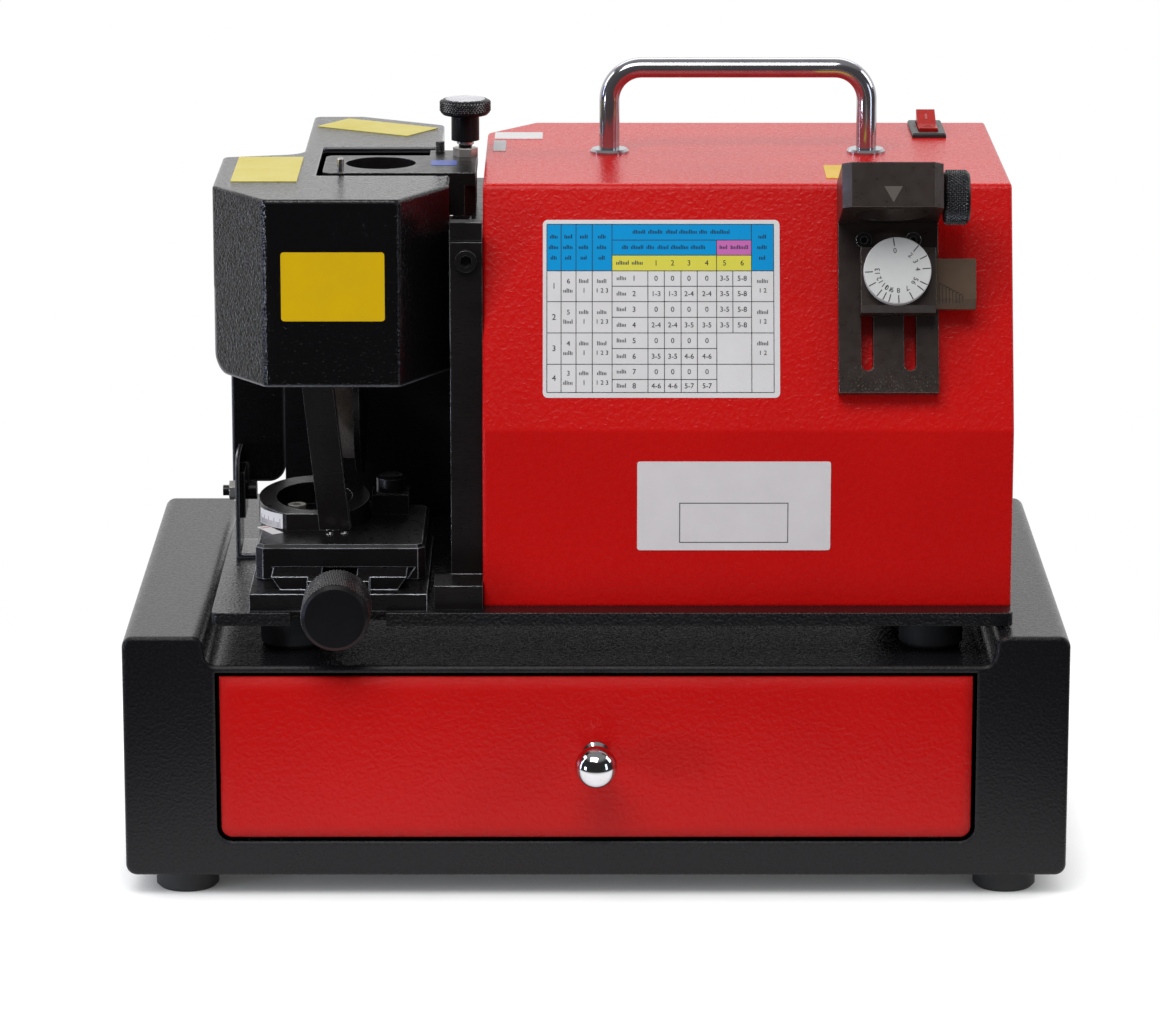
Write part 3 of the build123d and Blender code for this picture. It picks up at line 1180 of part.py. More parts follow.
def swivel_cradle():
    """A round wedge with a flat front and a round bowl; its top rises towards the back."""
    radius = CRADLE_DIAMETER / 2
    back = CRADLE_Y + radius
    high = CARRIAGE_TOP + CRADLE_FRONT_HEIGHT
    rise = (back - CRADLE_FRONT) * math.tan(math.radians(CRADLE_RISE))
    wedge = run_across(outline((CRADLE_FRONT, CARRIAGE_TOP), (back, CARRIAGE_TOP), (back, high + rise),
                               (CRADLE_FRONT, high)), CRADLE_X - radius, CRADLE_X + radius)
    disc = rod((CRADLE_X, CRADLE_Y, CARRIAGE_TOP), ALONG_Z, high + rise - CARRIAGE_TOP, CRADLE_DIAMETER)
    body = wedge & disc
    body -= rod((CRADLE_X, CRADLE_Y, CARRIAGE_TOP + CRADLE_FLOOR), ALONG_Z, high + rise, CRADLE_BOWL)
    body -= [rod((x, y, CARRIAGE_TOP), ALONG_Z, CRADLE_FLOOR, CRADLE_SCREW + 2 * CRADLE_SCREW_SWING)
             for x, y in cradle_screw_places()]
    return body - guide_bar()


def cradle_screws():
    """Two cap screws that hold the cradle down through its wide holes."""
    seat = CARRIAGE_TOP + CRADLE_FLOOR + RUN_FIT
    foot = CARRIAGE_TOP - CRADLE_SCREW_LENGTH + CRADLE_FLOOR
    head = CRADLE_SCREW_HEAD / 2
    end = seat - foot + CRADLE_SCREW_HEAD_LENGTH
    shape = [(0, 0), (0, CRADLE_SCREW / 2), (seat - foot, CRADLE_SCREW / 2), (seat - foot, head),
             (end, head), (end, 0)]
    return group(turned(shape, (x, y, foot), ALONG_Z) - hexagon((x, y, foot + end), (0, 0, -1),
                 CRADLE_SCREW_HEAD_LENGTH / 2, CRADLE_SCREW * 4 / 5) for x, y in cradle_screw_places())


def guide_bar():
    """A flat bar let into the cradle's front, leaning left and forward up into the guard."""
    bar = block((-BAR_WIDTH / 2, BAR_WIDTH / 2), (-BAR_DEPTH / 2, BAR_DEPTH / 2), (-BAR_DEPTH, BAR_LENGTH))
    foot = Pos(BAR_X, CRADLE_FRONT + BAR_INSET, CARRIAGE_TOP)
    bar = foot * Rot(BAR_LEAN_FRONT, -BAR_LEAN_LEFT, 0) * bar
    return bar - foot * Pos(0, 0, SLIDE_GAP - BAR_DEPTH) * Box(3 * BAR_WIDTH, 3 * BAR_WIDTH, 2 * BAR_DEPTH)


def primary_port_socket():
    """The primary port: a chuck ring held out to the left by an arm on the guide bar."""
    half = PRIMARY_ARM_HEIGHT / 2
    heights = (PRIMARY_Z - half, PRIMARY_Z + half)
    right = PRIMARY_LEFT + PRIMARY_LENGTH
    ring = rod((PRIMARY_LEFT, PRIMARY_Y, PRIMARY_Z), ALONG_X, PRIMARY_LENGTH, PORT_RING)
    shoulder = block((PRIMARY_LEFT + PRIMARY_SHOULDER, right),
                     (PRIMARY_ARM_BACK - PRIMARY_ARM_DEPTH, PRIMARY_Y), heights)
    bar_lean = math.tan(math.radians(BAR_LEAN_LEFT)) * (PRIMARY_Z - CARRIAGE_TOP)
    arm = block((right, BAR_X - bar_lean + BAR_WIDTH / 2),
                (PRIMARY_ARM_BACK - PRIMARY_ARM_DEPTH, PRIMARY_ARM_BACK), heights)
    socket = ring + shoulder + arm - guide_bar()
    return socket - rod((PRIMARY_LEFT, PRIMARY_Y, PRIMARY_Z), ALONG_X, PRIMARY_LENGTH, CHUCK_BORE)


# Rear port

def rear_seat():
    """The height at which the rear socket stands on its plate."""
    return REAR_Z - PORT_RING / 2 - REAR_SEAT_DROP


def rear_plate_depth():
    middle = REAR_RING_FRONT + REAR_RING_LENGTH / 2
    return (middle - REAR_PLATE_DEPTH / 2, middle + REAR_PLATE_DEPTH / 2)


def rear_socket_across():
    return (REAR_X - REAR_SOCKET_WIDTH / 2, REAR_X + REAR_SOCKET_WIDTH / 2)


def rear_port_plate():
    """An upright plate on a short foot, from the side shield's edge to the end plate."""
    front, back = rear_plate_depth()
    high = rear_seat()
    face = outline((REAR_PLATE_LEFT, DECK), (END_PLATE_LEFT, DECK), (END_PLATE_LEFT, high),
                   (REAR_PLATE_LEFT, high))
    face = fillet(face.vertices().sort_by_distance((REAR_PLATE_LEFT, high))[0], REAR_PLATE_CORNER)
    foot = block(rear_socket_across(), (front - REAR_FOOT_DEPTH, front), (DECK, DECK + REAR_FOOT_HEIGHT))
    return run_back(face, front, back) + foot


def rear_port_socket():
    """A chuck ring facing the back, on a block that stands on the plate."""
    start = (REAR_X, REAR_RING_FRONT, REAR_Z)
    ring = rod(start, ALONG_Y, REAR_RING_LENGTH, PORT_RING)
    socket = ring + block(rear_socket_across(), rear_plate_depth(), (rear_seat(), REAR_Z))
    return socket - rod(start, ALONG_Y, REAR_RING_LENGTH, CHUCK_BORE)


# Setting fixture on the leaning face

def fixture_middle():
    return FIXTURE_LEFT + FIXTURE_WIDTH / 2


def fixture_screw_places():
    return (fixture_middle() - FIXTURE_SCREW_PITCH / 2, fixture_middle() + FIXTURE_SCREW_PITCH / 2)


def setting_plate():
    """The fixture's back plate with two long slots."""
    plate = block((FIXTURE_LEFT, FIXTURE_LEFT + FIXTURE_WIDTH), (FIXTURE_LOW, FIXTURE_HIGH),
                  (0, FIXTURE_PLATE))
    length = FIXTURE_SLOT_HIGH - FIXTURE_SLOT_LOW
    slot = run_up(SlotOverall(length, FIXTURE_SLOT, rotation=90), 0, FIXTURE_PLATE)
    middle = (FIXTURE_SLOT_HIGH + FIXTURE_SLOT_LOW) / 2
    plate -= [Pos(fixture_middle() + side * FIXTURE_SLOT_PITCH / 2, middle, 0) * slot for side in (-1, 1)]
    plate -= [rod((x, FIXTURE_SCREW_V, 0), ALONG_Z, FIXTURE_PLATE, FIXTURE_SCREW + 2 * SCREW_ROOM)
              for x in fixture_screw_places()]
    return FIXTURE * plate


def fixture_screws():
    """Cap screws that hold the fixture to the cover's sheet."""
    tail = COVER_SHEET + FIXTURE_SCREW / 2
    head = FIXTURE_PLATE + FIXTURE_SCREW_HEAD_LENGTH
    return group(FIXTURE * (rod((x, FIXTURE_SCREW_V, -tail), ALONG_Z, tail + FIXTURE_PLATE, FIXTURE_SCREW)
                            + rod((x, FIXTURE_SCREW_V, FIXTURE_PLATE), ALONG_Z, FIXTURE_SCREW_HEAD_LENGTH,
                                  FIXTURE_SCREW_HEAD)
                            - hexagon((x, FIXTURE_SCREW_V, head), (0, 0, -1), FIXTURE_SCREW_HEAD_LENGTH / 2,
                                      FIXTURE_SCREW * 3 / 4)) for x in fixture_screw_places())


def setting_bore_out():
    return FIXTURE_PLATE + SETTING_REACH / 2


def clamp_line():
    """Where the clamp knob's line leaves the setting block's right side."""
    return (FIXTURE_LEFT + FIXTURE_WIDTH, (SETTING_LOW + FIXTURE_HIGH) / 2 - CLAMP_DROP, setting_bore_out())


def clamp_stem_reach():
    return (FIXTURE_WIDTH - CHUCK_BORE) / 2


def setting_block():
    """The block that holds the chuck for setting, bored along the slope."""
    body = block((FIXTURE_LEFT, FIXTURE_LEFT + FIXTURE_WIDTH), (SETTING_LOW, FIXTURE_HIGH),
                 (FIXTURE_PLATE, FIXTURE_PLATE + SETTING_REACH))
    body = chamfer(body.edges().filter_by(Axis.Y).sort_by(Axis.Z)[-2:], SETTING_CHAMFER)
    body -= rod((fixture_middle(), SETTING_LOW, setting_bore_out()), ALONG_Y, FIXTURE_HIGH - SETTING_LOW,
                CHUCK_BORE)
    return FIXTURE * (body - rod(clamp_line(), (-1, 0, 0), clamp_stem_reach(), CLAMP_STEM + 2 * RUN_FIT))


def setting_clamp_knob():
    """A round knob whose stem clamps the chuck in the setting block."""
    rim = CLAMP_KNOB / 2
    edge = CLAMP_KNOB_CHAMFER
    near = CLAMP_KNOB_GAP
    far = near + CLAMP_KNOB_LENGTH
    inside = CLAMP_STEM_SETBACK - clamp_stem_reach()
    shape = [(inside, 0), (inside, CLAMP_STEM / 2), (near, CLAMP_STEM / 2), (near, rim - edge),
             (near + edge, rim), (far - edge, rim), (far, rim - edge), (far, 0)]
    return FIXTURE * turned(shape, clamp_line(), ALONG_X)


def scale_room():
    """The depth of the channel that the scale bar slides in."""
    return SCALE_THICKNESS + 2 * SLIDE_GAP


def dial_block():
    """A bridge on the plate: the scale bar slides under it and the dial turns on it."""
    right = DIAL_BLOCK_LEFT + DIAL_BLOCK_WIDTH
    high = FIXTURE_PLATE + DIAL_BLOCK_DEPTH
    body = block((DIAL_BLOCK_LEFT, right), (DIAL_BLOCK_LOW, DIAL_BLOCK_LOW + DIAL_BLOCK_HEIGHT),
                 (FIXTURE_PLATE, high))
    body = chamfer(body.edges().filter_by(Axis.X).group_by(Axis.Z)[-1].sort_by(Axis.Y)[0], DIAL_BLOCK_CHAMFER)
    body -= block((SCALE_LEFT - SLIDE_GAP, right),
                  (SCALE_LOW - SLIDE_GAP, SCALE_LOW + SCALE_HEIGHT + SLIDE_GAP),
                  (FIXTURE_PLATE, FIXTURE_PLATE + scale_room()))
    return FIXTURE * (body - rod((DIAL_X, DIAL_V, FIXTURE_PLATE), ALONG_Z, DIAL_BLOCK_DEPTH,
                                 DIAL_SHAFT + 2 * RUN_FIT))


def setting_dial():
    """A flat round dial on a short shaft."""
    rim = DIAL_DIAMETER / 2
    face = SLIDE_GAP + DIAL_THICKNESS
    shaft = scale_room() - DIAL_BLOCK_DEPTH + SLIDE_GAP
    shape = [(shaft, 0), (shaft, DIAL_SHAFT / 2), (SLIDE_GAP, DIAL_SHAFT / 2), (SLIDE_GAP, rim),
             (face - SLIDE_GAP, rim), (face, rim - SLIDE_GAP), (face, 0)]
    return FIXTURE * turned(shape, (DIAL_X, DIAL_V, FIXTURE_PLATE + DIAL_BLOCK_DEPTH), ALONG_Z)


def scale_bar():
    """The sliding bar behind the dial, chamfered along its lower front edge."""
    low = FIXTURE_PLATE + SLIDE_GAP
    bar = block((SCALE_LEFT, SCALE_LEFT + SCALE_LENGTH), (SCALE_LOW, SCALE_LOW + SCALE_HEIGHT),
                (low, low + SCALE_THICKNESS))
    lower_front = bar.edges().filter_by(Axis.X).group_by(Axis.Z)[-1].sort_by(Axis.Y)[0]
    return FIXTURE * chamfer(lower_front, SCALE_CHAMFER)


# Every piece under its own name, moved so that the origin lies under the whole object's middle

PIECES = [
    cabinet_shell, cabinet_feet, drawer_runners, drawer_box, drawer_front, drawer_knob,
    base_plate, machine_feet, motor_cover, carry_handle, handle_flanges,
    switch_housing, switch_rocker, power_inlet, inlet_pins,
    motor_body, end_plate, end_plate_screw, spindle_bearings, spindle,
    wheel_disc, grinding_wheel, wheel_nut, wheel_guard,
    side_shield, side_bracket, bracket_screw, bracket_nut,
    top_port_plate, port_locating_pin, port_guide_pins, port_set_screw, depth_nut, depth_knob,
    slide_base, feed_screw, feed_knob, slide_carriage, feed_nut, gib_strip, carriage_boss,
    swivel_cradle, cradle_screws, guide_bar, primary_port_socket,
    rear_port_plate, rear_port_socket,
    setting_plate, fixture_screws, setting_block, setting_clamp_knob,
    dial_block, setting_dial, scale_bar,
]

os.makedirs("parts", exist_ok=True)
TO_MIDDLE = Pos(0, (KNOB_REACH - CABINET_DEPTH) / 2, 0)
for piece in PIECES:
    export_step(TO_MIDDLE * piece(), f"parts/{piece.__name__}.step")
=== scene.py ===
import math
import bmesh
import bpy
from mathutils import Matrix, Vector


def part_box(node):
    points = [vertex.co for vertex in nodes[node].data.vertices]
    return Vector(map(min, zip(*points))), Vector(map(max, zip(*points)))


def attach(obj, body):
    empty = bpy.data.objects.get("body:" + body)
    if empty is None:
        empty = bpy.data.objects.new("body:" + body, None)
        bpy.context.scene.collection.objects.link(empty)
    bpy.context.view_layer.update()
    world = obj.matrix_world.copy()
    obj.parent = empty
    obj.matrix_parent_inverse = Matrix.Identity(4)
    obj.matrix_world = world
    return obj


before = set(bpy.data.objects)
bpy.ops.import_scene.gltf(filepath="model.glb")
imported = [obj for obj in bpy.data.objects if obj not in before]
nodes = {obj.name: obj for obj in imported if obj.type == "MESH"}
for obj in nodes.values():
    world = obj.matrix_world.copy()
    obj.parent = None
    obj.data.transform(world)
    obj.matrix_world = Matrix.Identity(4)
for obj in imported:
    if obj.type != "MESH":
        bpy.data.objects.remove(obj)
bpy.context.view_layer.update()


# Cabinet shell: one folded and welded sheet-steel box with raised cheeks either side of a tray.
# It is finished in a fine-textured black powder coat that has rubbed thin along its bends.

def give(tree, node, values):
    """Sets or links each input of a node, by name or number."""
    for key, value in values.items():
        if isinstance(value, bpy.types.NodeSocket):
            tree.links.new(value, node.inputs[key])
        else:
            node.inputs[key].default_value = value


def put(tree, kind, values=None, **settings):
    """Adds a node with its options and inputs."""
    node = tree.nodes.new(kind)
    for key, value in settings.items():
        setattr(node, key, value)
    give(tree, node, values or {})
    return node


def sums(tree, operation, first, second=0.0, **settings):
    """The result of a sum on two values."""
    values = {0: first, 1: second}
    return put(tree, "ShaderNodeMath", values, operation=operation, **settings).outputs["Value"]


def span(tree, value, start=0.0, end=1.0, low=0.0, high=1.0, **settings):
    """A value carried over from one range to another, and held at its ends."""
    values = {"Value": value, "From Min": start, "From Max": end, "To Min": low, "To Max": high}
    return put(tree, "ShaderNodeMapRange", values, **settings).outputs["Result"]


def noise(tree, place, scale, detail, **more):
    """Cloudy noise of a given scale and detail."""
    values = {"Vector": place, "Scale": scale, "Detail": detail, **more}
    return put(tree, "ShaderNodeTexNoise", values).outputs["Fac"]


def two_tone(tree, amount, low, high, start=0.0, end=1.0):
    """A colour that goes from one tone to another with an amount."""
    ramp = put(tree, "ShaderNodeValToRGB", {"Fac": amount})
    for element, colour, position in zip(ramp.color_ramp.elements, (low, high), (start, end)):
        element.color = (*colour, 1.0)
        element.position = position
    return ramp.outputs["Color"]


def blend(tree, amount, first, second):
    """A mix of two colours."""
    return put(tree, "ShaderNodeMix", {0: amount, 6: first, 7: second}, data_type="RGBA").outputs[2]


def bumped(tree, height, strength, distance, **more):
    """A normal pushed about by a height."""
    values = {"Height": height, "Strength": strength, "Distance": distance, **more}
    return put(tree, "ShaderNodeBump", values).outputs["Normal"]


def rounded_edges(tree, radius, rays=4):
    """The normal with edges softened, and how far each point is onto an edge, from 0 to 1."""
    soft = put(tree, "ShaderNodeBevel", {"Radius": radius}, samples=rays).outputs["Normal"]
    true = put(tree, "ShaderNodeNewGeometry").outputs["Normal"]
    dot = put(tree, "ShaderNodeVectorMath", {0: soft, 1: true}, operation="DOT_PRODUCT")
    flat_face, full_edge = 0.995, 0.82
    return soft, span(tree, dot.outputs["Value"], flat_face, full_edge)


def blank_finish(name):
    """A new material with its shader, and the piece's own coordinates."""
    material = bpy.data.materials.new(name)
    material.use_nodes = True
    tree = material.node_tree
    place = put(tree, "ShaderNodeTexCoord").outputs["Object"]
    return material, tree, tree.nodes["Principled BSDF"], place


def powder_coat(name, colour, rubbed, grain, relief, gloss, shine, soften):
    """Textured paint: a leathery grain, softened bends, and edges rubbed to another tone."""
    material, tree, shader, place = blank_finish(name)
    pebble = noise(tree, place, 1 / grain, 1.0, Roughness=0.4, Distortion=0.5)
    broad = noise(tree, place, 14.0, 3.0, Roughness=0.5)
    tint = two_tone(tree, broad, [c * 0.96 for c in colour], [c * 1.04 for c in colour], 0.3, 0.7)
    soft, edge = rounded_edges(tree, soften)
    patchy = sums(tree, "MULTIPLY", edge, pebble)
    give(tree, shader, {"Base Color": blend(tree, patchy, tint, (*rubbed, 1.0)),
                        "Roughness": span(tree, pebble, 0.3, 0.7, gloss + 0.05, gloss - 0.04),
                        "Specular IOR Level": shine,
                        "Normal": bumped(tree, pebble, relief, grain * 0.3, Normal=soft)})
    return material


def dress(material, *names):
    """Gives CAD pieces their finish."""
    for name in names:
        for slot in nodes[name].material_slots:
            slot.material = material


cabinet_paint = powder_coat("cabinet_paint", (0.0065, 0.0062, 0.0075), (0.035, 0.035, 0.038),
                            grain=0.0014, relief=0.3, gloss=0.27, shine=0.24, soften=0.0022)
dress(cabinet_paint, "cabinet_shell")


# Rubber feet: four under the cabinet and four taller ones under the machine's base plate.
# They are moulded in black rubber, each held by a screw up its middle.

def moulded(name, colour, dusty, grain, relief, gloss):
    """Rubber or plastic out of a mould: a fine skin, and a little dust in the broad patches."""
    material, tree, shader, place = blank_finish(name)
    skin = noise(tree, place, 1 / grain, 3.0)
    dust = noise(tree, place, 60.0, 5.0, Roughness=0.65)
    soft, edge = rounded_edges(tree, 0.0004)
    give(tree, shader, {"Base Color": two_tone(tree, dust, colour, dusty, 0.35, 0.85),
                        "Roughness": span(tree, edge, low=gloss, high=gloss - 0.12),
                        "Normal": bumped(tree, skin, relief, grain * 0.3, Normal=soft)})
    return material


foot_rubber = moulded("foot_rubber", (0.012, 0.012, 0.012), (0.035, 0.034, 0.033),
                      grain=0.0006, relief=0.25, gloss=0.7)
dress(foot_rubber, "cabinet_feet", "machine_feet")


# Drawer: a folded black box on two black steel runners, behind a red-painted steel front.
# The ball knob is turned, polished and chrome-plated, and held by a screw from inside.

def machined(name, colour, worn_and_highlit, gloss, metal, shine, stretch,
             soften=0.0005, wear_and_highlight=1.0, bare=1.0, foot=None):
    """Machined metal: cutter marks drawn out along one axis, rubbed edges, and flecks above a foot; where the
    edge tone is pale and barely metal, the rubbed edge is partly a painted highlight.
    """
    material, tree, shader, place = blank_finish(name)
    drawn = put(tree, "ShaderNodeMapping", {"Vector": place, "Scale": stretch}).outputs["Vector"]
    marks = noise(tree, drawn, 1.0, 4.0, Roughness=0.65)
    cloud = noise(tree, place, 45.0, 4.0)
    tint = two_tone(tree, cloud, [c * 0.8 for c in colour], [c * 1.2 for c in colour], 0.3, 0.7)
    soft, edge = rounded_edges(tree, soften)
    rubs_and_highlights = sums(tree, "MULTIPLY", span(tree, cloud, 0.3, 0.6), wear_and_highlight)
    patchy = sums(tree, "MULTIPLY", edge, rubs_and_highlights, use_clamp=True)
    bright = patchy
    if foot:
        fleck_rise = 0.018
        height = put(tree, "ShaderNodeSeparateXYZ", {"Vector": place}).outputs["Z"]
        near = span(tree, height, foot + fleck_rise, foot)
        specks = noise(tree, place, 1500.0, 2.0)
        bright = sums(tree, "MAXIMUM", patchy, span(tree, specks, 0.56, 0.8, high=near))
    # The edge tone is real wear where it is bare metal, and partly a painted highlight where the finish keeps
    # the edge pale and dull.
    give(tree, shader, {"Base Color": blend(tree, bright, tint, (*worn_and_highlit, 1.0)),
                        "Metallic": span(tree, patchy, low=metal, high=bare),
                        "Roughness": span(tree, marks, 0.25, 0.75, gloss - 0.08, gloss + 0.1),
                        "Specular IOR Level": shine,
                        "Normal": bumped(tree, marks, 0.12, 0.00006, Normal=soft)})
    return material


def chromed(name, low, high, gloss, metal):
    """Polished plating with faint handling marks."""
    material, tree, shader, place = blank_finish(name)
    smear = noise(tree, place, 70.0, 5.0, Roughness=0.6)
    give(tree, shader, {"Base Color": two_tone(tree, smear, low, high, 0.3, 0.7),
                        "Metallic": metal,
                        "Roughness": span(tree, smear, 0.35, 0.8, gloss, gloss + 0.08)})
    return material


cover_red, rubbed_red = (0.57, 0.0045, 0.004), (0.62, 0.02, 0.016)
red_paint = powder_coat("red_paint", cover_red, rubbed_red,
                        grain=0.0019, relief=0.34, gloss=0.26, shine=0.2, soften=0.0018)
drawer_red = powder_coat("drawer_red", cover_red, rubbed_red,
                         grain=0.0019, relief=0.34, gloss=0.22, shine=0.2, soften=0.009)
zinc_plate = machined("zinc_plate", (0.5, 0.48, 0.45), (0.66, 0.64, 0.6),
                      gloss=0.36, metal=0.8, shine=0.5, stretch=(900, 160, 160))
chrome_plate = chromed("chrome_plate", (0.55, 0.55, 0.57), (0.66, 0.66, 0.68), gloss=0.05, metal=1.0)
dress(drawer_red, "drawer_front")
dress(cabinet_paint, "drawer_box", "drawer_runners")
dress(chrome_plate, "drawer_knob")


# Base plate: flat steel plate that carries the whole machine on its own feet in the tray.
# It wears a coarser, glossier black texture than the cabinet, with scuffs along the front edge.

plate_paint = powder_coat("plate_paint", (0.006, 0.006, 0.007), (0.05, 0.05, 0.055),
                          grain=0.0014, relief=0.6, gloss=0.28, shine=0.4, soften=0.0009)
dress(plate_paint, "base_plate")


# Motor cover: a folded red hood over the motor, with a leaning upper front that carries the chart.
# It is sprayed like the drawer front, with one bare plate stuck on its lower front and three on its top.

MM = 0.001
FRONT = 0.119            # from the middle of the object to the cabinet's front face
LET_IN = 0.05            # how far a stuck-on plate is let into its face, in millimetres
cover_front, cover_crease, cover_top = 26.8, 210.0, 315.5
lean = math.radians(20)
slope_up = Vector((0, math.sin(lean), math.cos(lean)))
slope_out = Vector((0, -math.cos(lean), math.sin(lean)))


def at(x, y, z):
    """A place given in millimetres from the cabinet's middle, its front face and the bench."""
    return Vector((x * MM, y * MM - FRONT, z * MM))


def on_slope(u, v, w):
    """A place on the leaning face: across it, up it and out from it, in millimetres."""
    return at(u, cover_front, cover_crease) + slope_up * v * MM + slope_out * w * MM


def facing(origin, across, up):
    """A flat drawing board at a place: X across it, Y up it and Z out of it."""
    across, up = Vector(across).normalized(), Vector(up).normalized()
    out = across.cross(up)
    return Matrix(((across.x, up.x, out.x, origin.x), (across.y, up.y, out.y, origin.y),
                   (across.z, up.z, out.z, origin.z), (0, 0, 0, 1)))


def lying(x, y, z):
    """A board that lies face up."""
    return facing(at(x, y, z), (1, 0, 0), (0, 1, 0))


def upright(x, y, z):
    """A board that stands and faces the front."""
    return facing(at(x, y, z), (1, 0, 0), (0, 0, 1))


def leaning(u, v, w):
    """A board along the leaning face."""
    return facing(on_slope(u, v, w), (1, 0, 0), slope_up)


def stay(name, mesh, body):
    """Makes a finished mesh a piece that rides on a body and takes a slot's finish."""
    piece = bpy.data.objects.new(name, mesh)
    bpy.context.scene.collection.objects.link(piece)
    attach(piece, body)


def lay(name, bm, board, material, body):
    """Makes drawn faces a piece on its board, in one finish."""
    mesh = bpy.data.meshes.new(name)
    bm.to_mesh(mesh)
    bm.free()
    mesh.transform(board)
    mesh.materials.append(material)
    stay(name, mesh, body)


def rounded_outline(width, height, radius, steps=6):
    """The corners of a rectangle about the middle, each rounded in short steps."""
    points = []
    for turn, (sx, sy) in enumerate(((1, 1), (-1, 1), (-1, -1), (1, -1))):
        for step in range(steps + 1):
            angle = math.radians(90 * turn + 90 * step / steps)
            points.append((sx * (width / 2 - radius) + radius * math.cos(angle),
                           sy * (height / 2 - radius) + radius * math.sin(angle)))
    return points


def slab(bm, points, low, high):
    """Adds a flat sheet with the given outline, from one height to another, in millimetres."""
    bottom = [bm.verts.new((x * MM, y * MM, low * MM)) for x, y in points]
    top = [bm.verts.new((x * MM, y * MM, high * MM)) for x, y in points]
    bm.faces.new(top)
    bm.faces.new(bottom[::-1])
    for i in range(len(points)):
        j = (i + 1) % len(points)
        bm.faces.new((bottom[i], bottom[j], top[j], top[i]))


def sticker(name, board, width, height, radius, material, body, thick=0.25):
    """A thin plate with rounded corners and a softened rim, let a hair into the face that it sits on."""
    bm = bmesh.new()
    slab(bm, rounded_outline(width, height, radius), -LET_IN, thick)
    rim = [edge for edge in bm.edges if all(v.co.z > 0 for v in edge.verts)]
    bmesh.ops.bevel(bm, geom=rim, offset=thick * 0.4 * MM, segments=2, affect="EDGES", profile=0.6)
    lay(name, bm, board, material, body)


def bars(name, boxes, board, material, body, top, foot=0.15):
    """Printed bars: (x, y, width, height) in millimetres on the board, as one thin mesh."""
    bm = bmesh.new()
    for x, y, width, height in boxes:
        slab(bm, [(x, y), (x + width, y), (x + width, y + height), (x, y + height)], foot, top)
    lay(name, bm, board, material, body)


def figures(name, marks, board, material, body, top=0.36):
    """Printed numbers: (number, x, y, height, turn) in millimetres and degrees, as one thin mesh."""
    digit_share, ink = 0.7, 0.02         # a digit's share of its font's size, and half its thickness
    bm = bmesh.new()
    for number, x, y, height, turn in marks:
        curve = bpy.data.curves.new(name, "FONT")
        curve.body = number
        curve.size = height * MM / digit_share
        curve.align_x = "CENTER"
        curve.align_y = "CENTER"
        curve.resolution_u = 3
        curve.extrude = ink * MM
        shape = bpy.data.objects.new(name, curve)
        bpy.context.scene.collection.objects.link(shape)
        flat = bpy.data.meshes.new_from_object(shape.evaluated_get(bpy.context.evaluated_depsgraph_get()))
        flat.transform(Matrix.Translation((x * MM, y * MM, (top - ink) * MM))
                       @ Matrix.Rotation(math.radians(turn), 4, "Z"))
        bm.from_mesh(flat)
        bpy.data.objects.remove(shape)
        bpy.data.curves.remove(curve)
        bpy.data.meshes.remove(flat)
    lay(name, bm, board, material, body)


def enamel(name, colour, stain, gloss, shine=0.2):
    """Printed foil: an even colour with faint yellowing and smudges in its gloss."""
    material, tree, shader, place = blank_finish(name)
    smudge = noise(tree, place, 55.0, 5.0, Roughness=0.6)
    dimple = noise(tree, place, 480.0, 1.0)
    give(tree, shader, {"Base Color": two_tone(tree, smudge, colour, stain, 0.3, 0.95),
                        "Roughness": span(tree, smudge, 0.3, 0.75, gloss - 0.05, gloss + 0.1),
                        "Specular IOR Level": shine,
                        "Normal": bumped(tree, dimple, 0.06, 0.0004)})
    return material


dress(red_paint, "motor_cover")
foil_white = enamel("foil_white", (0.71, 0.69, 0.69), (0.64, 0.62, 0.61), 0.4)
foil_bright = enamel("foil_bright", (0.74, 0.7, 0.7), (0.66, 0.62, 0.62), 0.4)
foil_yellow = enamel("foil_yellow", (0.74, 0.46, 0.002), (0.66, 0.41, 0.002), 0.36)
foil_grey = enamel("foil_grey", (0.46, 0.45, 0.46), (0.4, 0.39, 0.4), 0.4)
ink_shine = 0.08
ink_blue = enamel("ink_blue", (0.002, 0.29, 0.64), (0.002, 0.27, 0.6), 0.42, ink_shine)
ink_yellow = enamel("ink_yellow", (0.7, 0.64, 0.08), (0.66, 0.6, 0.08), 0.42, ink_shine)
ink_pink = enamel("ink_pink", (0.56, 0.15, 0.43), (0.52, 0.14, 0.4), 0.42, ink_shine)
ink_navy = enamel("ink_navy", (0.012, 0.03, 0.07), (0.02, 0.04, 0.08), 0.5, ink_shine)
ink_soft = enamel("ink_soft", (0.09, 0.09, 0.1), (0.12, 0.12, 0.13), 0.5, ink_shine)
ink_black = enamel("ink_black", (0.016, 0.016, 0.018), (0.03, 0.03, 0.032), 0.5)

# The chart's plate, its coloured head and its ruled grid, placed from the plate's lower left corner.
# Each layer of print stands a little higher than the one below it.
chart_width, chart_height = 106.5, 80.8
chart_board = leaning(29.35, 55.4, 0)
sticker("chart_plate", chart_board, chart_width, chart_height, 2.2, foil_white, "machine")
chart_corner = chart_board @ Matrix.Translation((-chart_width / 2 * MM, -chart_height / 2 * MM, 0))
chart_left, chart_right, chart_low, chart_high, chart_head = 1.8, 103.8, 2.4, 78.8, 57.6
head_low, head_high = 64.7, 71.6
table_left, table_right, second_left = 31.1, 93.8, 78.1
rule = 0.3


def chart_bars(name, boxes, ink, top):
    """Bars printed on the chart."""
    bars(name, boxes, chart_corner, ink, "machine", top)


def upright_rules(places, low, high):
    """Ruled lines up the chart."""
    return [(x - rule / 2, low, rule, high - low) for x in places]


def level_rules(places, left, right):
    """Ruled lines across the chart."""
    return [(left, y - rule / 2, right - left, rule) for y in places]


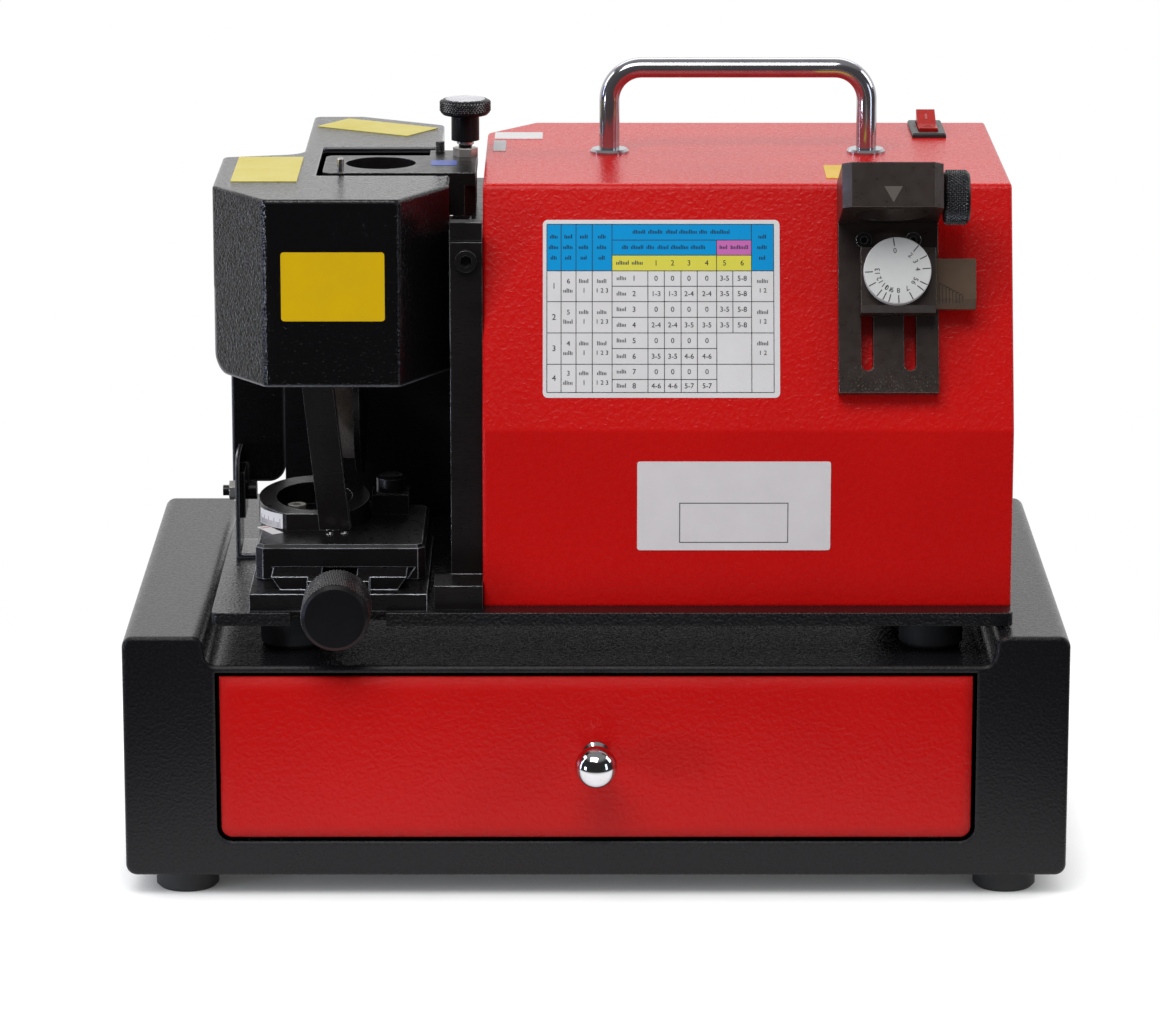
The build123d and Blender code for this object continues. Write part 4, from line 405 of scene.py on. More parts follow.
chart_bars("chart_blue", [(chart_left, chart_head, chart_right - chart_left, chart_high - chart_head)],
           ink_blue, 0.28)
chart_bars("chart_yellow", [(table_left, chart_head, table_right - table_left, head_low - chart_head)],
           ink_yellow, 0.3)
chart_bars("chart_pink", [(second_left, head_low, table_right - second_left, head_high - head_low)],
           ink_pink, 0.3)
full_rows = [43.6, 29.4, 15.2]
chart_rules = upright_rules((chart_left, 8.2, 14.9, 22.2, table_left, table_right, chart_right),
                            chart_low, chart_high)
chart_rules += upright_rules((47.2, 54.6, 62.1, 69.4), chart_low, chart_head)
chart_rules += upright_rules((second_left,), chart_low, head_high)
chart_rules += upright_rules((85.4,), full_rows[1], chart_head)
chart_rules += level_rules((chart_low, *full_rows, chart_head, chart_high), chart_left, chart_right)
chart_rules += level_rules((50.6, 36.5, head_low, head_high), table_left, table_right)
chart_rules += level_rules((22.3, 8.3), table_left, second_left)
chart_bars("chart_lines", chart_rules, ink_black, 0.33)

# Its plain numbers, in four groups of two rows each.
group_middles = [50.6, 36.5, 22.3, 8.8]
half_rows = [54.1, 47.1, 40.0, 32.9, 25.8, 18.7, 11.7, 5.3]
size_columns = [50.9, 58.3, 65.7, 73.7]
second_columns = [81.7, 89.6]
group_column, sides_column, port_column, angle_column, last_column = 5.0, 11.5, 18.5, 26.6, 98.8
step_column, label_column = 41.0, 35.6
raised, lowered = 2.2, -2.0
chart_numbers = []
for row, y in enumerate(group_middles):
    chart_numbers += [(str(row + 1), group_column, y, 2.6, 0),
                      (str(6 - row), sides_column, y + raised, 2.2, 0),
                      ("1", port_column, y + lowered, 2.2, 0),
                      ("1 2 3", angle_column, y + lowered, 2.0, 0)]
for column, x in enumerate(size_columns + second_columns):
    chart_numbers.append((str(column + 1), x, 61.1, 2.4, 0))
for row, y in enumerate(half_rows):
    chart_numbers.append((str(row + 1), step_column, y, 2.4, 0))
    for column, x in enumerate(size_columns):
        low = 1 + column // 2 + row // 2
        chart_numbers.append(("0" if row % 2 == 0 else f"{low}-{low + 2}", x, y, 2.3, 0))
    if row < 4:
        chart_numbers += [(mark, x, y, 2.3, 0) for mark, x in zip(("3-5", "5-8"), second_columns)]
chart_numbers += [("1 2", last_column, y + lowered, 2.0, 0) for y in group_middles[:3]]
figures("chart_numbers", chart_numbers, chart_corner, ink_black, "machine")

# Its printed rows: clusters of small upright strokes, as (middle, height, cluster widths).
print_rows = [(x, y, (width,)) for x in (group_column, sides_column, port_column, angle_column, last_column)
              for y, width in ((73.0, 3.6), (68.2, 4.6), (63.4, 3.0))]
print_rows += [(62.4, 75.2, (6, 7, 5, 8, 4, 9)), (54.6, 68.2, (3, 6, 4, 5, 8, 7)), (86.0, 68.2, (4, 8)),
               (39.0, 61.1, (6, 5))]
print_rows += [(sides_column, y - raised, (4.6,)) for y in group_middles]
print_rows += [(x, y + raised, (4.4,)) for x in (port_column, angle_column) for y in group_middles]
print_rows += [(last_column, y + raised, (5.0,)) for y in group_middles[:3]]
print_rows += [(label_column, y, (4.8,)) for y in half_rows]
stroke_wide, stroke_step, stroke_drop, cluster_gap = 0.42, 0.74, 0.7, 1.0
stroke_heights = (1.2, 1.9, 1.3, 1.2, 1.7)
head_strokes, cell_strokes = [], []
for x, y, widths in print_rows:
    left = x - (sum(widths) + cluster_gap * (len(widths) - 1)) / 2
    for width in widths:
        for count in range(round(width / stroke_step)):
            tall = stroke_heights[(count * 3 + round(x + y)) % len(stroke_heights)]
            strokes = head_strokes if y > chart_head else cell_strokes
            strokes.append((left + count * stroke_step, y - stroke_drop, stroke_wide, tall))
        left += width + cluster_gap
chart_bars("chart_head_rows", head_strokes, ink_navy, 0.34)
chart_bars("chart_cell_rows", cell_strokes, ink_soft, 0.34)

# The lower plate with its empty border, and the plates on top.
lower_board = upright(62.0, cover_front, 175.5)
sticker("lower_plate", lower_board, 87.0, 41.0, 1.2, foil_bright, "machine")
border, border_left, border_low, border_wide, border_tall = 0.35, -24.5, -17.0, 49.0, 18.5
border_sides = [(border_left, border_low, border_wide, border),
                (border_left, border_low + border_tall - border, border_wide, border),
                (border_left, border_low, border, border_tall),
                (border_left + border_wide - border, border_low, border, border_tall)]
bars("lower_plate_border", border_sides, lower_board, ink_black, "machine", 0.3)
sticker("top_plate_yellow", lying(114.5, 96, cover_top), 20, 34, 1.0, foil_yellow, "machine")
sticker("top_plate_white", lying(-36.2, 194.4, cover_top), 22.6, 18.2, 0.8, foil_white,
        "machine")
sticker("top_plate_grey", lying(-44.8, 166.2, cover_top), 5.8, 29.0, 0.8, foil_grey,
        "machine")


# Carry handle: a steel rod bent in a U, polished and chrome-plated, bolted up from inside the cover.
# A pressed ring finishes each foot.

handle_plate = chromed("handle_plate", (0.4, 0.4, 0.43), (0.48, 0.48, 0.51), gloss=0.1, metal=0.9)
dress(handle_plate, "carry_handle", "handle_flanges")


# Power switch and mains inlet: bought-in parts snapped into the cover's sheet.
# Both are moulded in black plastic; the rocker is clear red, with a raised bar and ring for on and off.

def clear_plastic(name, colour):
    """Deep red plastic with small moulding swirls."""
    material, tree, shader, place = blank_finish(name)
    swirl = noise(tree, place, 260.0, 3.0)
    soft = rounded_edges(tree, 0.0005)[0]
    give(tree, shader, {"Base Color": two_tone(tree, swirl, [c * 0.8 for c in colour], colour, 0.3, 0.7),
                        "Roughness": 0.2,
                        "Specular IOR Level": 0.03,
                        "Normal": bumped(tree, swirl, 0.08, 0.0002, Normal=soft)})
    return material


def tilted(x, y, z, angle):
    """A board that lies face up, with its far edge tipped up by an angle."""
    return facing(at(x, y, z), (1, 0, 0), (0, math.cos(angle), math.sin(angle)))


def ring(name, board, outer, inner, thick, material, body, steps=40):
    """A flat raised ring, let a hair into the face that it stands on."""
    bm = bmesh.new()
    section = ((outer, -LET_IN), (outer, thick), (inner, thick), (inner, -LET_IN))
    loops = []
    for step in range(steps):
        turn = 2 * math.pi * step / steps
        loops.append([bm.verts.new((radius * math.cos(turn) * MM, radius * math.sin(turn) * MM, height * MM))
                      for radius, height in section])
    for near, far in zip(loops, loops[1:] + loops[:1]):
        for i in range(4):
            j = (i + 1) % 4
            bm.faces.new((near[i], far[i], far[j], near[j]))
    lay(name, bm, board, material, body)


switch_plastic = moulded("switch_plastic", (0.014, 0.014, 0.015), (0.022, 0.022, 0.023),
                         grain=0.0004, relief=0.15, gloss=0.45)
rocker_plastic = clear_plastic("rocker_plastic", (0.42, 0.012, 0.008))
rocker_mark = clear_plastic("rocker_mark", (0.5, 0.1, 0.09))
contact_steel = machined("contact_steel", (0.62, 0.6, 0.57), (0.7, 0.68, 0.65),
                         gloss=0.25, metal=1.0, shine=0.5, stretch=(200, 900, 200))
dress(switch_plastic, "switch_housing", "power_inlet")
dress(rocker_plastic, "switch_rocker")
dress(contact_steel, "inlet_pins")
rocker_x, mark_thick = 158, 0.2
raised_end, pressed_end = math.radians(20.9), math.radians(-0.9)
sticker("rocker_bar", tilted(rocker_x, 214.0, 321.5, raised_end), 1.2, 5.4, 0.55, rocker_mark,
        "rocker", mark_thick)
ring("rocker_ring", tilted(rocker_x, 200.7, 319.16, pressed_end), 2.5, 1.7, mark_thick, rocker_mark,
     "rocker")


# Motor and end plate: the cast motor stands under the cover, and a thick plate carries its spindle.
# The plate is machined and blacked, with its front edge drilled for one cap screw.

motor_casting = machined("motor_casting", (0.3, 0.3, 0.31), (0.42, 0.42, 0.43),
                         gloss=0.5, metal=1.0, shine=0.5, stretch=(300, 300, 300))
black_oxide = machined("black_oxide", (0.0095, 0.0078, 0.008), (0.5, 0.51, 0.53),
                       gloss=0.3, metal=0.1, shine=0.35, stretch=(240, 240, 1400))
ground_steel = machined("ground_steel", (0.52, 0.51, 0.5), (0.66, 0.66, 0.66),
                        gloss=0.27, metal=1.0, shine=0.5, stretch=(1200, 260, 260))
dress(motor_casting, "motor_body")
dress(black_oxide, "end_plate", "end_plate_screw")
dress(ground_steel, "spindle_bearings")


# Spindle and wheel: a ground steel shaft clamps a bonded grinding wheel against a thin steel disc.
# The wheel's grit is brown-grey and dusty; the disc and the nut that holds it on are blacked.

def bonded_grit(name):
    """Bonded abrasive: coarse light and dark grains standing out of the bond."""
    material, tree, shader, place = blank_finish(name)
    grains = put(tree, "ShaderNodeTexVoronoi", {"Vector": place, "Scale": 1500.0}).outputs["Distance"]
    tone = two_tone(tree, grains, (0.13, 0.1, 0.085), (0.36, 0.31, 0.27), 0.1, 0.8)
    stain = noise(tree, place, 90.0, 4.0)
    give(tree, shader, {"Base Color": blend(tree, stain, tone, (0.1, 0.075, 0.06, 1.0)),
                        "Roughness": 0.85,
                        "Normal": bumped(tree, grains, 0.6, 0.0003)})
    return material


dress(ground_steel, "spindle")
dress(bonded_grit("wheel_grit"), "grinding_wheel")
dress(black_oxide, "wheel_nut", "wheel_disc")


# Wheel guard: bent and welded sheet in a glossy hammered black, resting by two tabs on the end plate.
# Three bare yellow plates are stuck on it, one in front and two on top.

def hammered(name, colour, worn_and_highlit, dimple, soften):
    """Hammered paint: shallow dimples with a hard gloss that breaks reflections into glints, and edges
    blended to a paler tone that is partly rubbed paint and partly a painted highlight.
    """
    material, tree, shader, place = blank_finish(name)
    cells = noise(tree, place, 1 / dimple, 1.0, Distortion=0.6)
    fine = noise(tree, place, 3 / dimple, 2.0)
    soft, edge = rounded_edges(tree, soften, rays=16)
    patchy = sums(tree, "MULTIPLY", edge, fine)
    relief = span(tree, edge, end=0.2, low=0.65, high=0.08)
    give(tree, shader, {"Base Color": blend(tree, patchy, (*colour, 1.0), (*worn_and_highlit, 1.0)),
                        "Roughness": span(tree, fine, 0.3, 0.7, 0.07, 0.14),
                        "Specular IOR Level": 0.36,
                        "Normal": bumped(tree, cells, relief, dimple * 0.4, Normal=soft)})
    return material


# Its pale blue-grey edge tone is partly rubbed paint and partly a painted highlight along the edges.
guard_paint = hammered("guard_paint", (0.0045, 0.004, 0.0045), (0.3, 0.31, 0.35),
                       dimple=0.0013, soften=0.0026)
foil_lemon = enamel("foil_lemon", (0.6, 0.5, 0.02), (0.54, 0.44, 0.02), 0.36, shine=0.6)
dress(guard_paint, "wheel_guard")
guard_front, guard_top = 30.0, 314.5
sticker("guard_plate_front", upright(-117.5, guard_front, 275.2), 46.3, 31.3, 1.4, foil_yellow,
        "guard")
sticker("guard_plate_left", lying(-150.5, 108.5, guard_top), 30, 65, 0.8, foil_lemon,
        "guard")
rear_slant = Matrix.Rotation(math.radians(-32), 4, "Z")
sticker("guard_plate_rear", lying(-104.2, 224.5, guard_top) @ rear_slant, 52, 27, 0.8, foil_lemon,
        "guard")


# Side shield: a bent sheet below the guard, screwed to an angle bracket on the base plate.
# Both are painted like the guard; the screw is blacked and its nut zinc-plated.

dress(guard_paint, "side_shield", "side_bracket")
dress(black_oxide, "bracket_screw")
dress(zinc_plate, "bracket_nut")


# Top port: a blacked plate that carries the chuck over the wheel, raised and lowered by a knurled knob.
# The knob's black head has a plain silver cap, and a zinc nut locks its thread.

def size_tree(name, floats, counts=(), places=()):
    """A Geometry Nodes tree with a named input for each size, count and place, and for the finish."""
    tree = bpy.data.node_groups.new(name, "GeometryNodeTree")
    for kind, labels in (("Float", floats), ("Int", counts), ("Vector", places), ("Material", ("Finish",))):
        for label in labels:
            tree.interface.new_socket(label, in_out="INPUT", socket_type="NodeSocket" + kind)
    tree.interface.new_socket("Geometry", in_out="OUTPUT", socket_type="NodeSocketGeometry")
    return tree, put(tree, "NodeGroupInput").outputs


def close_tree(tree, geometry, finish):
    """Ends a tree: instances become plain mesh and take the finish."""
    solid = put(tree, "GeometryNodeRealizeInstances", {"Geometry": geometry}).outputs["Geometry"]
    done = put(tree, "GeometryNodeSetMaterial", {"Geometry": solid, "Material": finish})
    put(tree, "NodeGroupOutput", {"Geometry": done.outputs["Geometry"]})


def copies(tree, points, piece, finish, **more):
    """Ends a tree with a copy of a piece on each point."""
    values = {"Points": points, "Instance": piece, **more}
    placed = put(tree, "GeometryNodeInstanceOnPoints", values)
    close_tree(tree, placed.outputs["Instances"], finish)


def grow(name, tree, sizes, finish, board, body):
    """Runs a tree with its sizes set and keeps the result as a plain mesh piece at a place."""
    maker = bpy.data.objects.new(name, bpy.data.meshes.new(name))
    bpy.context.scene.collection.objects.link(maker)
    modifier = maker.modifiers.new(name, "NODES")
    modifier.node_group = tree
    for socket in tree.interface.items_tree:
        if socket.in_out == "INPUT":
            modifier[socket.identifier] = finish if socket.name == "Finish" else sizes[socket.name]
    mesh = bpy.data.meshes.new_from_object(maker.evaluated_get(bpy.context.evaluated_depsgraph_get()))
    bpy.data.objects.remove(maker)
    mesh.transform(board)
    stay(name, mesh, body)


def vector(tree, **parts):
    """A vector from its parts."""
    return put(tree, "ShaderNodeCombineXYZ", parts).outputs["Vector"]


def on_circle(tree, angle, radius, height=0.0):
    """A place on a circle, at an angle and a height."""
    return vector(tree, X=sums(tree, "MULTIPLY", sums(tree, "COSINE", angle), radius),
                  Y=sums(tree, "MULTIPLY", sums(tree, "SINE", angle), radius), Z=height)


def knurl_tree():
    """Diamond knurling: rows of small pyramids round a cylinder, every other row half a step round."""
    tree, size = size_tree("knurl", ("Radius", "Length", "Height"), ("Around", "Rows"))
    index = put(tree, "GeometryNodeInputIndex").outputs["Index"]
    row = sums(tree, "FLOOR", sums(tree, "DIVIDE", index, size["Around"]))
    shift = sums(tree, "MULTIPLY", sums(tree, "MODULO", row, 2.0), 0.5)
    step = sums(tree, "ADD", sums(tree, "MODULO", index, size["Around"]), shift)
    angle = sums(tree, "MULTIPLY", sums(tree, "DIVIDE", step, size["Around"]), 2 * math.pi)
    pitch = sums(tree, "DIVIDE", size["Length"], sums(tree, "ADD", size["Rows"], 1.0))
    along = sums(tree, "MULTIPLY", sums(tree, "ADD", row, 1.0), pitch)
    count = sums(tree, "MULTIPLY", size["Around"], size["Rows"])
    place = on_circle(tree, angle, size["Radius"], along)
    points = put(tree, "GeometryNodePoints", {"Count": count, "Position": place}).outputs["Points"]
    axes = {"Primary Axis": on_circle(tree, angle, 1.0), "Secondary Axis": (0.0, 0.0, 1.0)}
    turn = put(tree, "FunctionNodeAxesToRotation", axes, primary_axis="Z", secondary_axis="X")
    half = sums(tree, "DIVIDE", sums(tree, "MULTIPLY", size["Radius"], math.pi), size["Around"])
    pyramid = {"Vertices": 4, "Radius Top": 0.12, "Radius Bottom": 1.0, "Depth": 1.0}
    stud = put(tree, "GeometryNodeMeshCone", pyramid).outputs["Mesh"]
    copies(tree, points, stud, size["Finish"], Rotation=turn.outputs["Rotation"],
           Scale=vector(tree, X=pitch, Y=half, Z=size["Height"]))
    return tree


def thread_tree():
    """A screw thread: a small ridge wound round a stem."""
    tree, size = size_tree("thread", ("Radius", "Length", "Turns", "Ridge"))
    coil = put(tree, "GeometryNodeCurveSpiral", {
        "Resolution": 24, "Rotations": size["Turns"], "Start Radius": size["Radius"],
        "End Radius": size["Radius"], "Height": size["Length"]}).outputs["Curve"]
    crest = put(tree, "GeometryNodeCurvePrimitiveCircle", {"Resolution": 4, "Radius": size["Ridge"]},
                mode="RADIUS").outputs["Curve"]
    ridge = put(tree, "GeometryNodeCurveToMesh", {"Curve": coil, "Profile Curve": crest, "Fill Caps": True})
    close_tree(tree, ridge.outputs["Mesh"], size["Finish"])
    return tree


knurl, thread = knurl_tree(), thread_tree()
knob_black = machined("knob_black", (0.005, 0.005, 0.0058), (0.05, 0.05, 0.053),
                      gloss=0.36, metal=0.0, shine=0.2, stretch=(300, 300, 900))
# The pale tone rubbed onto the knurl's ridges is partly wear and partly painted glints.
knurl_black = machined("knurl_black", (0.012, 0.012, 0.013), (0.42, 0.42, 0.44), gloss=0.28, metal=0.0,
                       shine=0.45, stretch=(300, 300, 900), soften=0.0001, wear_and_highlight=2.0, bare=0.4)
cap_silver = machined("cap_silver", (0.5, 0.5, 0.53), (0.58, 0.58, 0.61),
                      gloss=0.34, metal=1.0, shine=0.5, stretch=(600, 600, 600))
foil_violet = enamel("foil_violet", (0.07, 0.11, 0.42), (0.06, 0.1, 0.38), 0.4, shine=0.5)


def knurled(name, radius, length, around, rows, height, board, body):
    """Knurling round a knob's side, up from a board."""
    sizes = {"Radius": radius * MM, "Length": length * MM, "Around": around, "Rows": rows,
             "Height": height * MM}
    grow(name, knurl, sizes, knurl_black, board, body)


dress(black_oxide, "top_port_plate", "port_set_screw")
dress(ground_steel, "port_locating_pin", "port_guide_pins")
dress(zinc_plate, "depth_nut")
dress(knob_black, "depth_knob")
depth_x, depth_y, stem_low, grip_low, cap_low = -60.5, 145.7, 320.3, 335.2, 341.0
cap_wide = 18.4
knurled("depth_knob_knurl", 11.3, 5.4, 44, 5, 0.65, lying(depth_x, depth_y, grip_low), "depth_control")
sticker("depth_knob_cap", lying(depth_x, depth_y, cap_low), cap_wide, cap_wide, cap_wide / 2 - 0.01,
        cap_silver, "depth_control", 0.35)
grow("depth_stem_thread", thread,
     {"Radius": 3.6 * MM, "Length": 1.3 * MM, "Turns": 2.0, "Ridge": 0.5 * MM},
     zinc_plate, lying(depth_x, depth_y, stem_low), "depth_control")
grow("set_screw_thread", thread,
     {"Radius": 2.0 * MM, "Length": 4.4 * MM, "Turns": 6.0, "Ridge": 0.22 * MM},
     black_oxide, lying(-72.5, 155.5, 314.7), "top_port")
sticker("port_plate_blue", lying(-70.0, 125.5, guard_top), 12, 13.5, 2.0, foil_violet,
        "top_port", 0.15)


# Primary slide: a blacked base with a dovetail carriage on it, moved by a knurled feed knob at the front.
# Two small bright set screws in the carriage top take up the gib strip.

def screw_tree():
    """Set screws: short bright plugs with a hexagon socket, one on each point of a row."""
    tree, size = size_tree("set_screw", ("Radius", "Stand", "Socket"), ("Count",), ("First", "Step"))
    row = put(tree, "GeometryNodeMeshLine", {"Count": size["Count"], "Start Location": size["First"],
                                             "Offset": size["Step"]}).outputs["Mesh"]
    plug, key = [put(tree, "GeometryNodeMeshCylinder", {"Vertices": sides, "Radius": size[radius],
                                                        "Depth": size["Stand"]}).outputs["Mesh"]
                 for sides, radius in ((24, "Radius"), (6, "Socket"))]
    lifted = vector(tree, Z=sums(tree, "MULTIPLY", size["Stand"], 0.5))
    sunk = put(tree, "GeometryNodeTransform", {"Geometry": key, "Translation": lifted}).outputs["Geometry"]
    head = put(tree, "GeometryNodeMeshBoolean", {"Mesh 1": plug, "Mesh 2": sunk},
               operation="DIFFERENCE", solver="EXACT").outputs["Mesh"]
    copies(tree, row, head, size["Finish"])
    return tree


# The pale bluish tone on the slide's edges is a painted highlight, partly rubbed wear.
slide_black = machined("slide_black", (0.0075, 0.0065, 0.007), (0.75, 0.8, 0.86), gloss=0.3, metal=0.1,
                       shine=0.3, stretch=(240, 240, 1400), soften=0.0006, wear_and_highlight=1.7, bare=0.3)
dress(slide_black, "slide_base", "slide_carriage", "gib_strip")
dress(black_oxide, "carriage_boss")
dress(ground_steel, "feed_screw")
dress(zinc_plate, "feed_nut")
dress(knob_black, "feed_knob")
feed_x, feed_z, grip_back = -116.0, 134.7, 11.4
knurled("feed_knob_knurl", 14.95, 27.4, 60, 21, 0.55, upright(feed_x, grip_back, feed_z), "feed_control")
carriage_top = 153.5
grow("gib_screws", screw_tree(),
     {"Radius": 2.0 * MM, "Stand": 0.8 * MM, "Socket": 0.95 * MM, "Count": 2,
      "First": tuple(at(-121.5, 63.2, carriage_top)), "Step": (6.7 * MM, 1.8 * MM, 0.0)},
     ground_steel, Matrix.Identity(4), "carriage")


# Swivel cradle: a blacked turned disc, cut flat in front, that carries the port socket on a guide bar.
# A white scale is stuck round its side, with a short marked strip on the carriage to read it against.

def tick_tree():
    """Scale marks: thin bars standing on an arc, every fifth one longer."""
    tree, size = size_tree("ticks", ("Radius", "From", "To", "Long", "Short", "Width", "Thick"), ("Count",))
    index = put(tree, "GeometryNodeInputIndex").outputs["Index"]
    share = sums(tree, "DIVIDE", index, sums(tree, "SUBTRACT", size["Count"], 1.0))
    sweep = sums(tree, "SUBTRACT", size["To"], size["From"])
    angle = sums(tree, "ADD", size["From"], sums(tree, "MULTIPLY", share, sweep))
    fifth = sums(tree, "COMPARE", sums(tree, "MODULO", index, 5.0), 0.0)
    extra = sums(tree, "SUBTRACT", size["Long"], size["Short"])
    length = sums(tree, "ADD", size["Short"], sums(tree, "MULTIPLY", fifth, extra))
    place = on_circle(tree, angle, size["Radius"], sums(tree, "MULTIPLY", length, 0.5))
    points = put(tree, "GeometryNodePoints", {"Count": size["Count"], "Position": place}).outputs["Points"]
    bar = put(tree, "GeometryNodeMeshCube", {"Size": (1.0, 1.0, 1.0)}).outputs["Mesh"]
    copies(tree, points, bar, size["Finish"], Rotation=vector(tree, Z=angle),
           Scale=vector(tree, X=size["Thick"], Y=size["Width"], Z=length))
    return tree


def bent_band(name, board, radius, start, end, height, thick, material, body, steps=24):
    """A thin strip wrapped on a turned side between two angles, let a hair into it."""
    bm = bmesh.new()
    inner, outer = radius - 0.03, radius + thick
    rings = []
    for step in range(steps + 1):
        angle = start + (end - start) * step / steps
        rings.append([bm.verts.new((r * math.cos(angle) * MM, r * math.sin(angle) * MM, z * MM))
                      for r, z in ((inner, 0), (outer, 0), (outer, height), (inner, height))])
    for near, far in zip(rings, rings[1:]):
        for i in range(4):
            j = (i + 1) % 4
            bm.faces.new((near[i], near[j], far[j], far[i]))
    bm.faces.new(rings[0][::-1])
    bm.faces.new(rings[-1])
    bmesh.ops.recalc_face_normals(bm, faces=bm.faces)
    lay(name, bm, board, material, body)


dress(black_oxide, "swivel_cradle", "guide_bar", "primary_port_socket")
dress(zinc_plate, "cradle_screws")
cradle_x, cradle_y, cradle_radius = -130.0, 92.5, 25.5
band_low, band_tall, band_margin = 154.0, 7.0, 0.06
band_start, band_end = math.radians(197), math.radians(238)
bent_band("cradle_scale", lying(cradle_x, cradle_y, band_low), cradle_radius, band_start, band_end,
          band_tall, 0.12, foil_white, "cradle")
grow("cradle_scale_marks", tick_tree(),
     {"Radius": (cradle_radius + 0.13) * MM, "From": band_start + band_margin, "To": band_end - band_margin,
      "Count": 21, "Long": 4.2 * MM, "Short": 2.6 * MM, "Width": 0.22 * MM, "Thick": 0.08 * MM},
     ink_black, lying(cradle_x, cradle_y, band_low + 0.3), "cradle")
strip_board = facing(at(-149.3, 70.5, carriage_top), (0.87, 0.5, 0), (-0.5, 0.87, 0))
ink_red = enamel("ink_red", (0.5, 0.012, 0.012), (0.42, 0.012, 0.012), 0.42)
sticker("carriage_strip", strip_board, 5.5, 16, 0.4, foil_white, "carriage", 0.15)
bars("carriage_strip_mark", [(-2.2, 4.6, 4.4, 0.7)], strip_board, ink_red, "carriage", 0.2)


# Rear port: an upright steel plate behind the wheel, with a turned socket for the chuck on its top edge.
# Both are machined and blacked.

dress(black_oxide, "rear_port_plate", "rear_port_socket")


# Setting fixture: a steel plate screwed to the cover's leaning face, with the setting port at its top.
# It is blued rather than blacked, so it shows brown; a knurled knob clamps the chuck in the port.

blued, blue_worn = (0.026, 0.017, 0.014), (0.2, 0.17, 0.145)
blue_look = {"gloss": 0.31, "metal": 0.1, "shine": 0.34, "stretch": (200, 200, 200),
             "soften": 0.0007, "wear_and_highlight": 1.5}
plate_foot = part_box("setting_plate")[0][2]
blued_steel = machined("blued_steel", blued, blue_worn, **blue_look)
rubbed_plate = machined("rubbed_plate", blued, blue_worn, foot=plate_foot, **blue_look)
pointer_paint = enamel("pointer_paint", (0.12, 0.1, 0.088), (0.09, 0.075, 0.066), 0.5)
dress(rubbed_plate, "setting_plate")
dress(blued_steel, "setting_block", "dial_block")
dress(black_oxide, "fixture_screws")
dress(knob_black, "setting_clamp_knob")
clamp_board = facing(on_slope(154.9, 101, 30), slope_up, slope_out)
knurled("clamp_knob_knurl", 11.7, 10.0, 44, 9, 0.65, clamp_board, "clamp_control")
pointer_half, pointer_rise, pointer_thick = 4.1, 3.6, 0.12
bm = bmesh.new()
slab(bm, [(-pointer_half, pointer_rise), (0, -pointer_rise), (pointer_half, pointer_rise)],
     -LET_IN, pointer_thick)
lay("setting_pointer", bm, leaning(131, 98.6, 52), pointer_paint, "machine")


# Setting dial: a white-faced turned knob with a printed ring of numbers, on a shaft through its block.
# Turning it shifts the scale bar behind, a blued strip with engraved lines.

dial_face = moulded("dial_face", (0.6, 0.6, 0.585), (0.53, 0.52, 0.51), grain=0.0007, relief=0.12, gloss=0.42)
bar_steel = machined("bar_steel", (0.1, 0.063, 0.04), (0.26, 0.2, 0.16),
                     gloss=0.36, metal=0.15, shine=0.22, stretch=(200, 200, 200))
dress(dial_face, "setting_dial")
dress(bar_steel, "scale_bar")
dial_board = leaning(134, 68.5, 27.5)
dial_marks = ((-7, "0"), (40, "2"), (63, "3"), (86, "4"), (116, "5"), (128, "6"), (152, "7"), (178, "8"),
              (196, "9"), (207, "10"), (219, "11"), (241, "12"), (267, "13"))
dial_rim, line_long, line_half, line_sunk, line_top = 14.7, 3.6, 0.21, 0.02, 0.06
number_ring, number_tall = 8.9, 2.3
dial_numbers = []
bm = bmesh.new()
for turn, number in dial_marks:
    spoke = Matrix.Rotation(math.radians(-turn), 2)
    corners = [(-line_half, dial_rim - line_long), (line_half, dial_rim - line_long),
               (line_half, dial_rim), (-line_half, dial_rim)]
    slab(bm, [spoke @ Vector(corner) for corner in corners], -line_sunk, line_top)
    dial_numbers.append((number, *(spoke @ Vector((0, number_ring))), number_tall, -turn))
lay("dial_lines", bm, dial_board, ink_black, "dial")
figures("dial_numbers", dial_numbers, dial_board, ink_black, "dial", line_top)
stair_left, stair_step, stair_drop, stair_tall, cut = -7.4, 1.5, 0.8, 9.0, 0.3
stairs = [(stair_left + stair_step * row, -stair_tall, cut, stair_tall - stair_drop * row)
          for row in range(8)]
stairs += [(stair_left + stair_step * row, -cut - stair_drop * row, stair_step, cut) for row in range(7)]
bars("scale_lines", stairs, leaning(160.5, 64.5, 15.7), ink_black, "scale", 0.2)


# Studio: a round of white paper on a white ground, in soft light from above, both sides and behind.
# The camera stands where the picture was taken from.

def seen_directly(tree):
    """1 for what the camera sees itself, mirrored or through glass; 0 for the light that falls on things."""
    ray = put(tree, "ShaderNodeLightPath").outputs
    mirrored = sums(tree, "MAXIMUM", ray["Is Glossy Ray"], ray["Is Transmission Ray"])
    return sums(tree, "MAXIMUM", ray["Is Camera Ray"], mirrored)


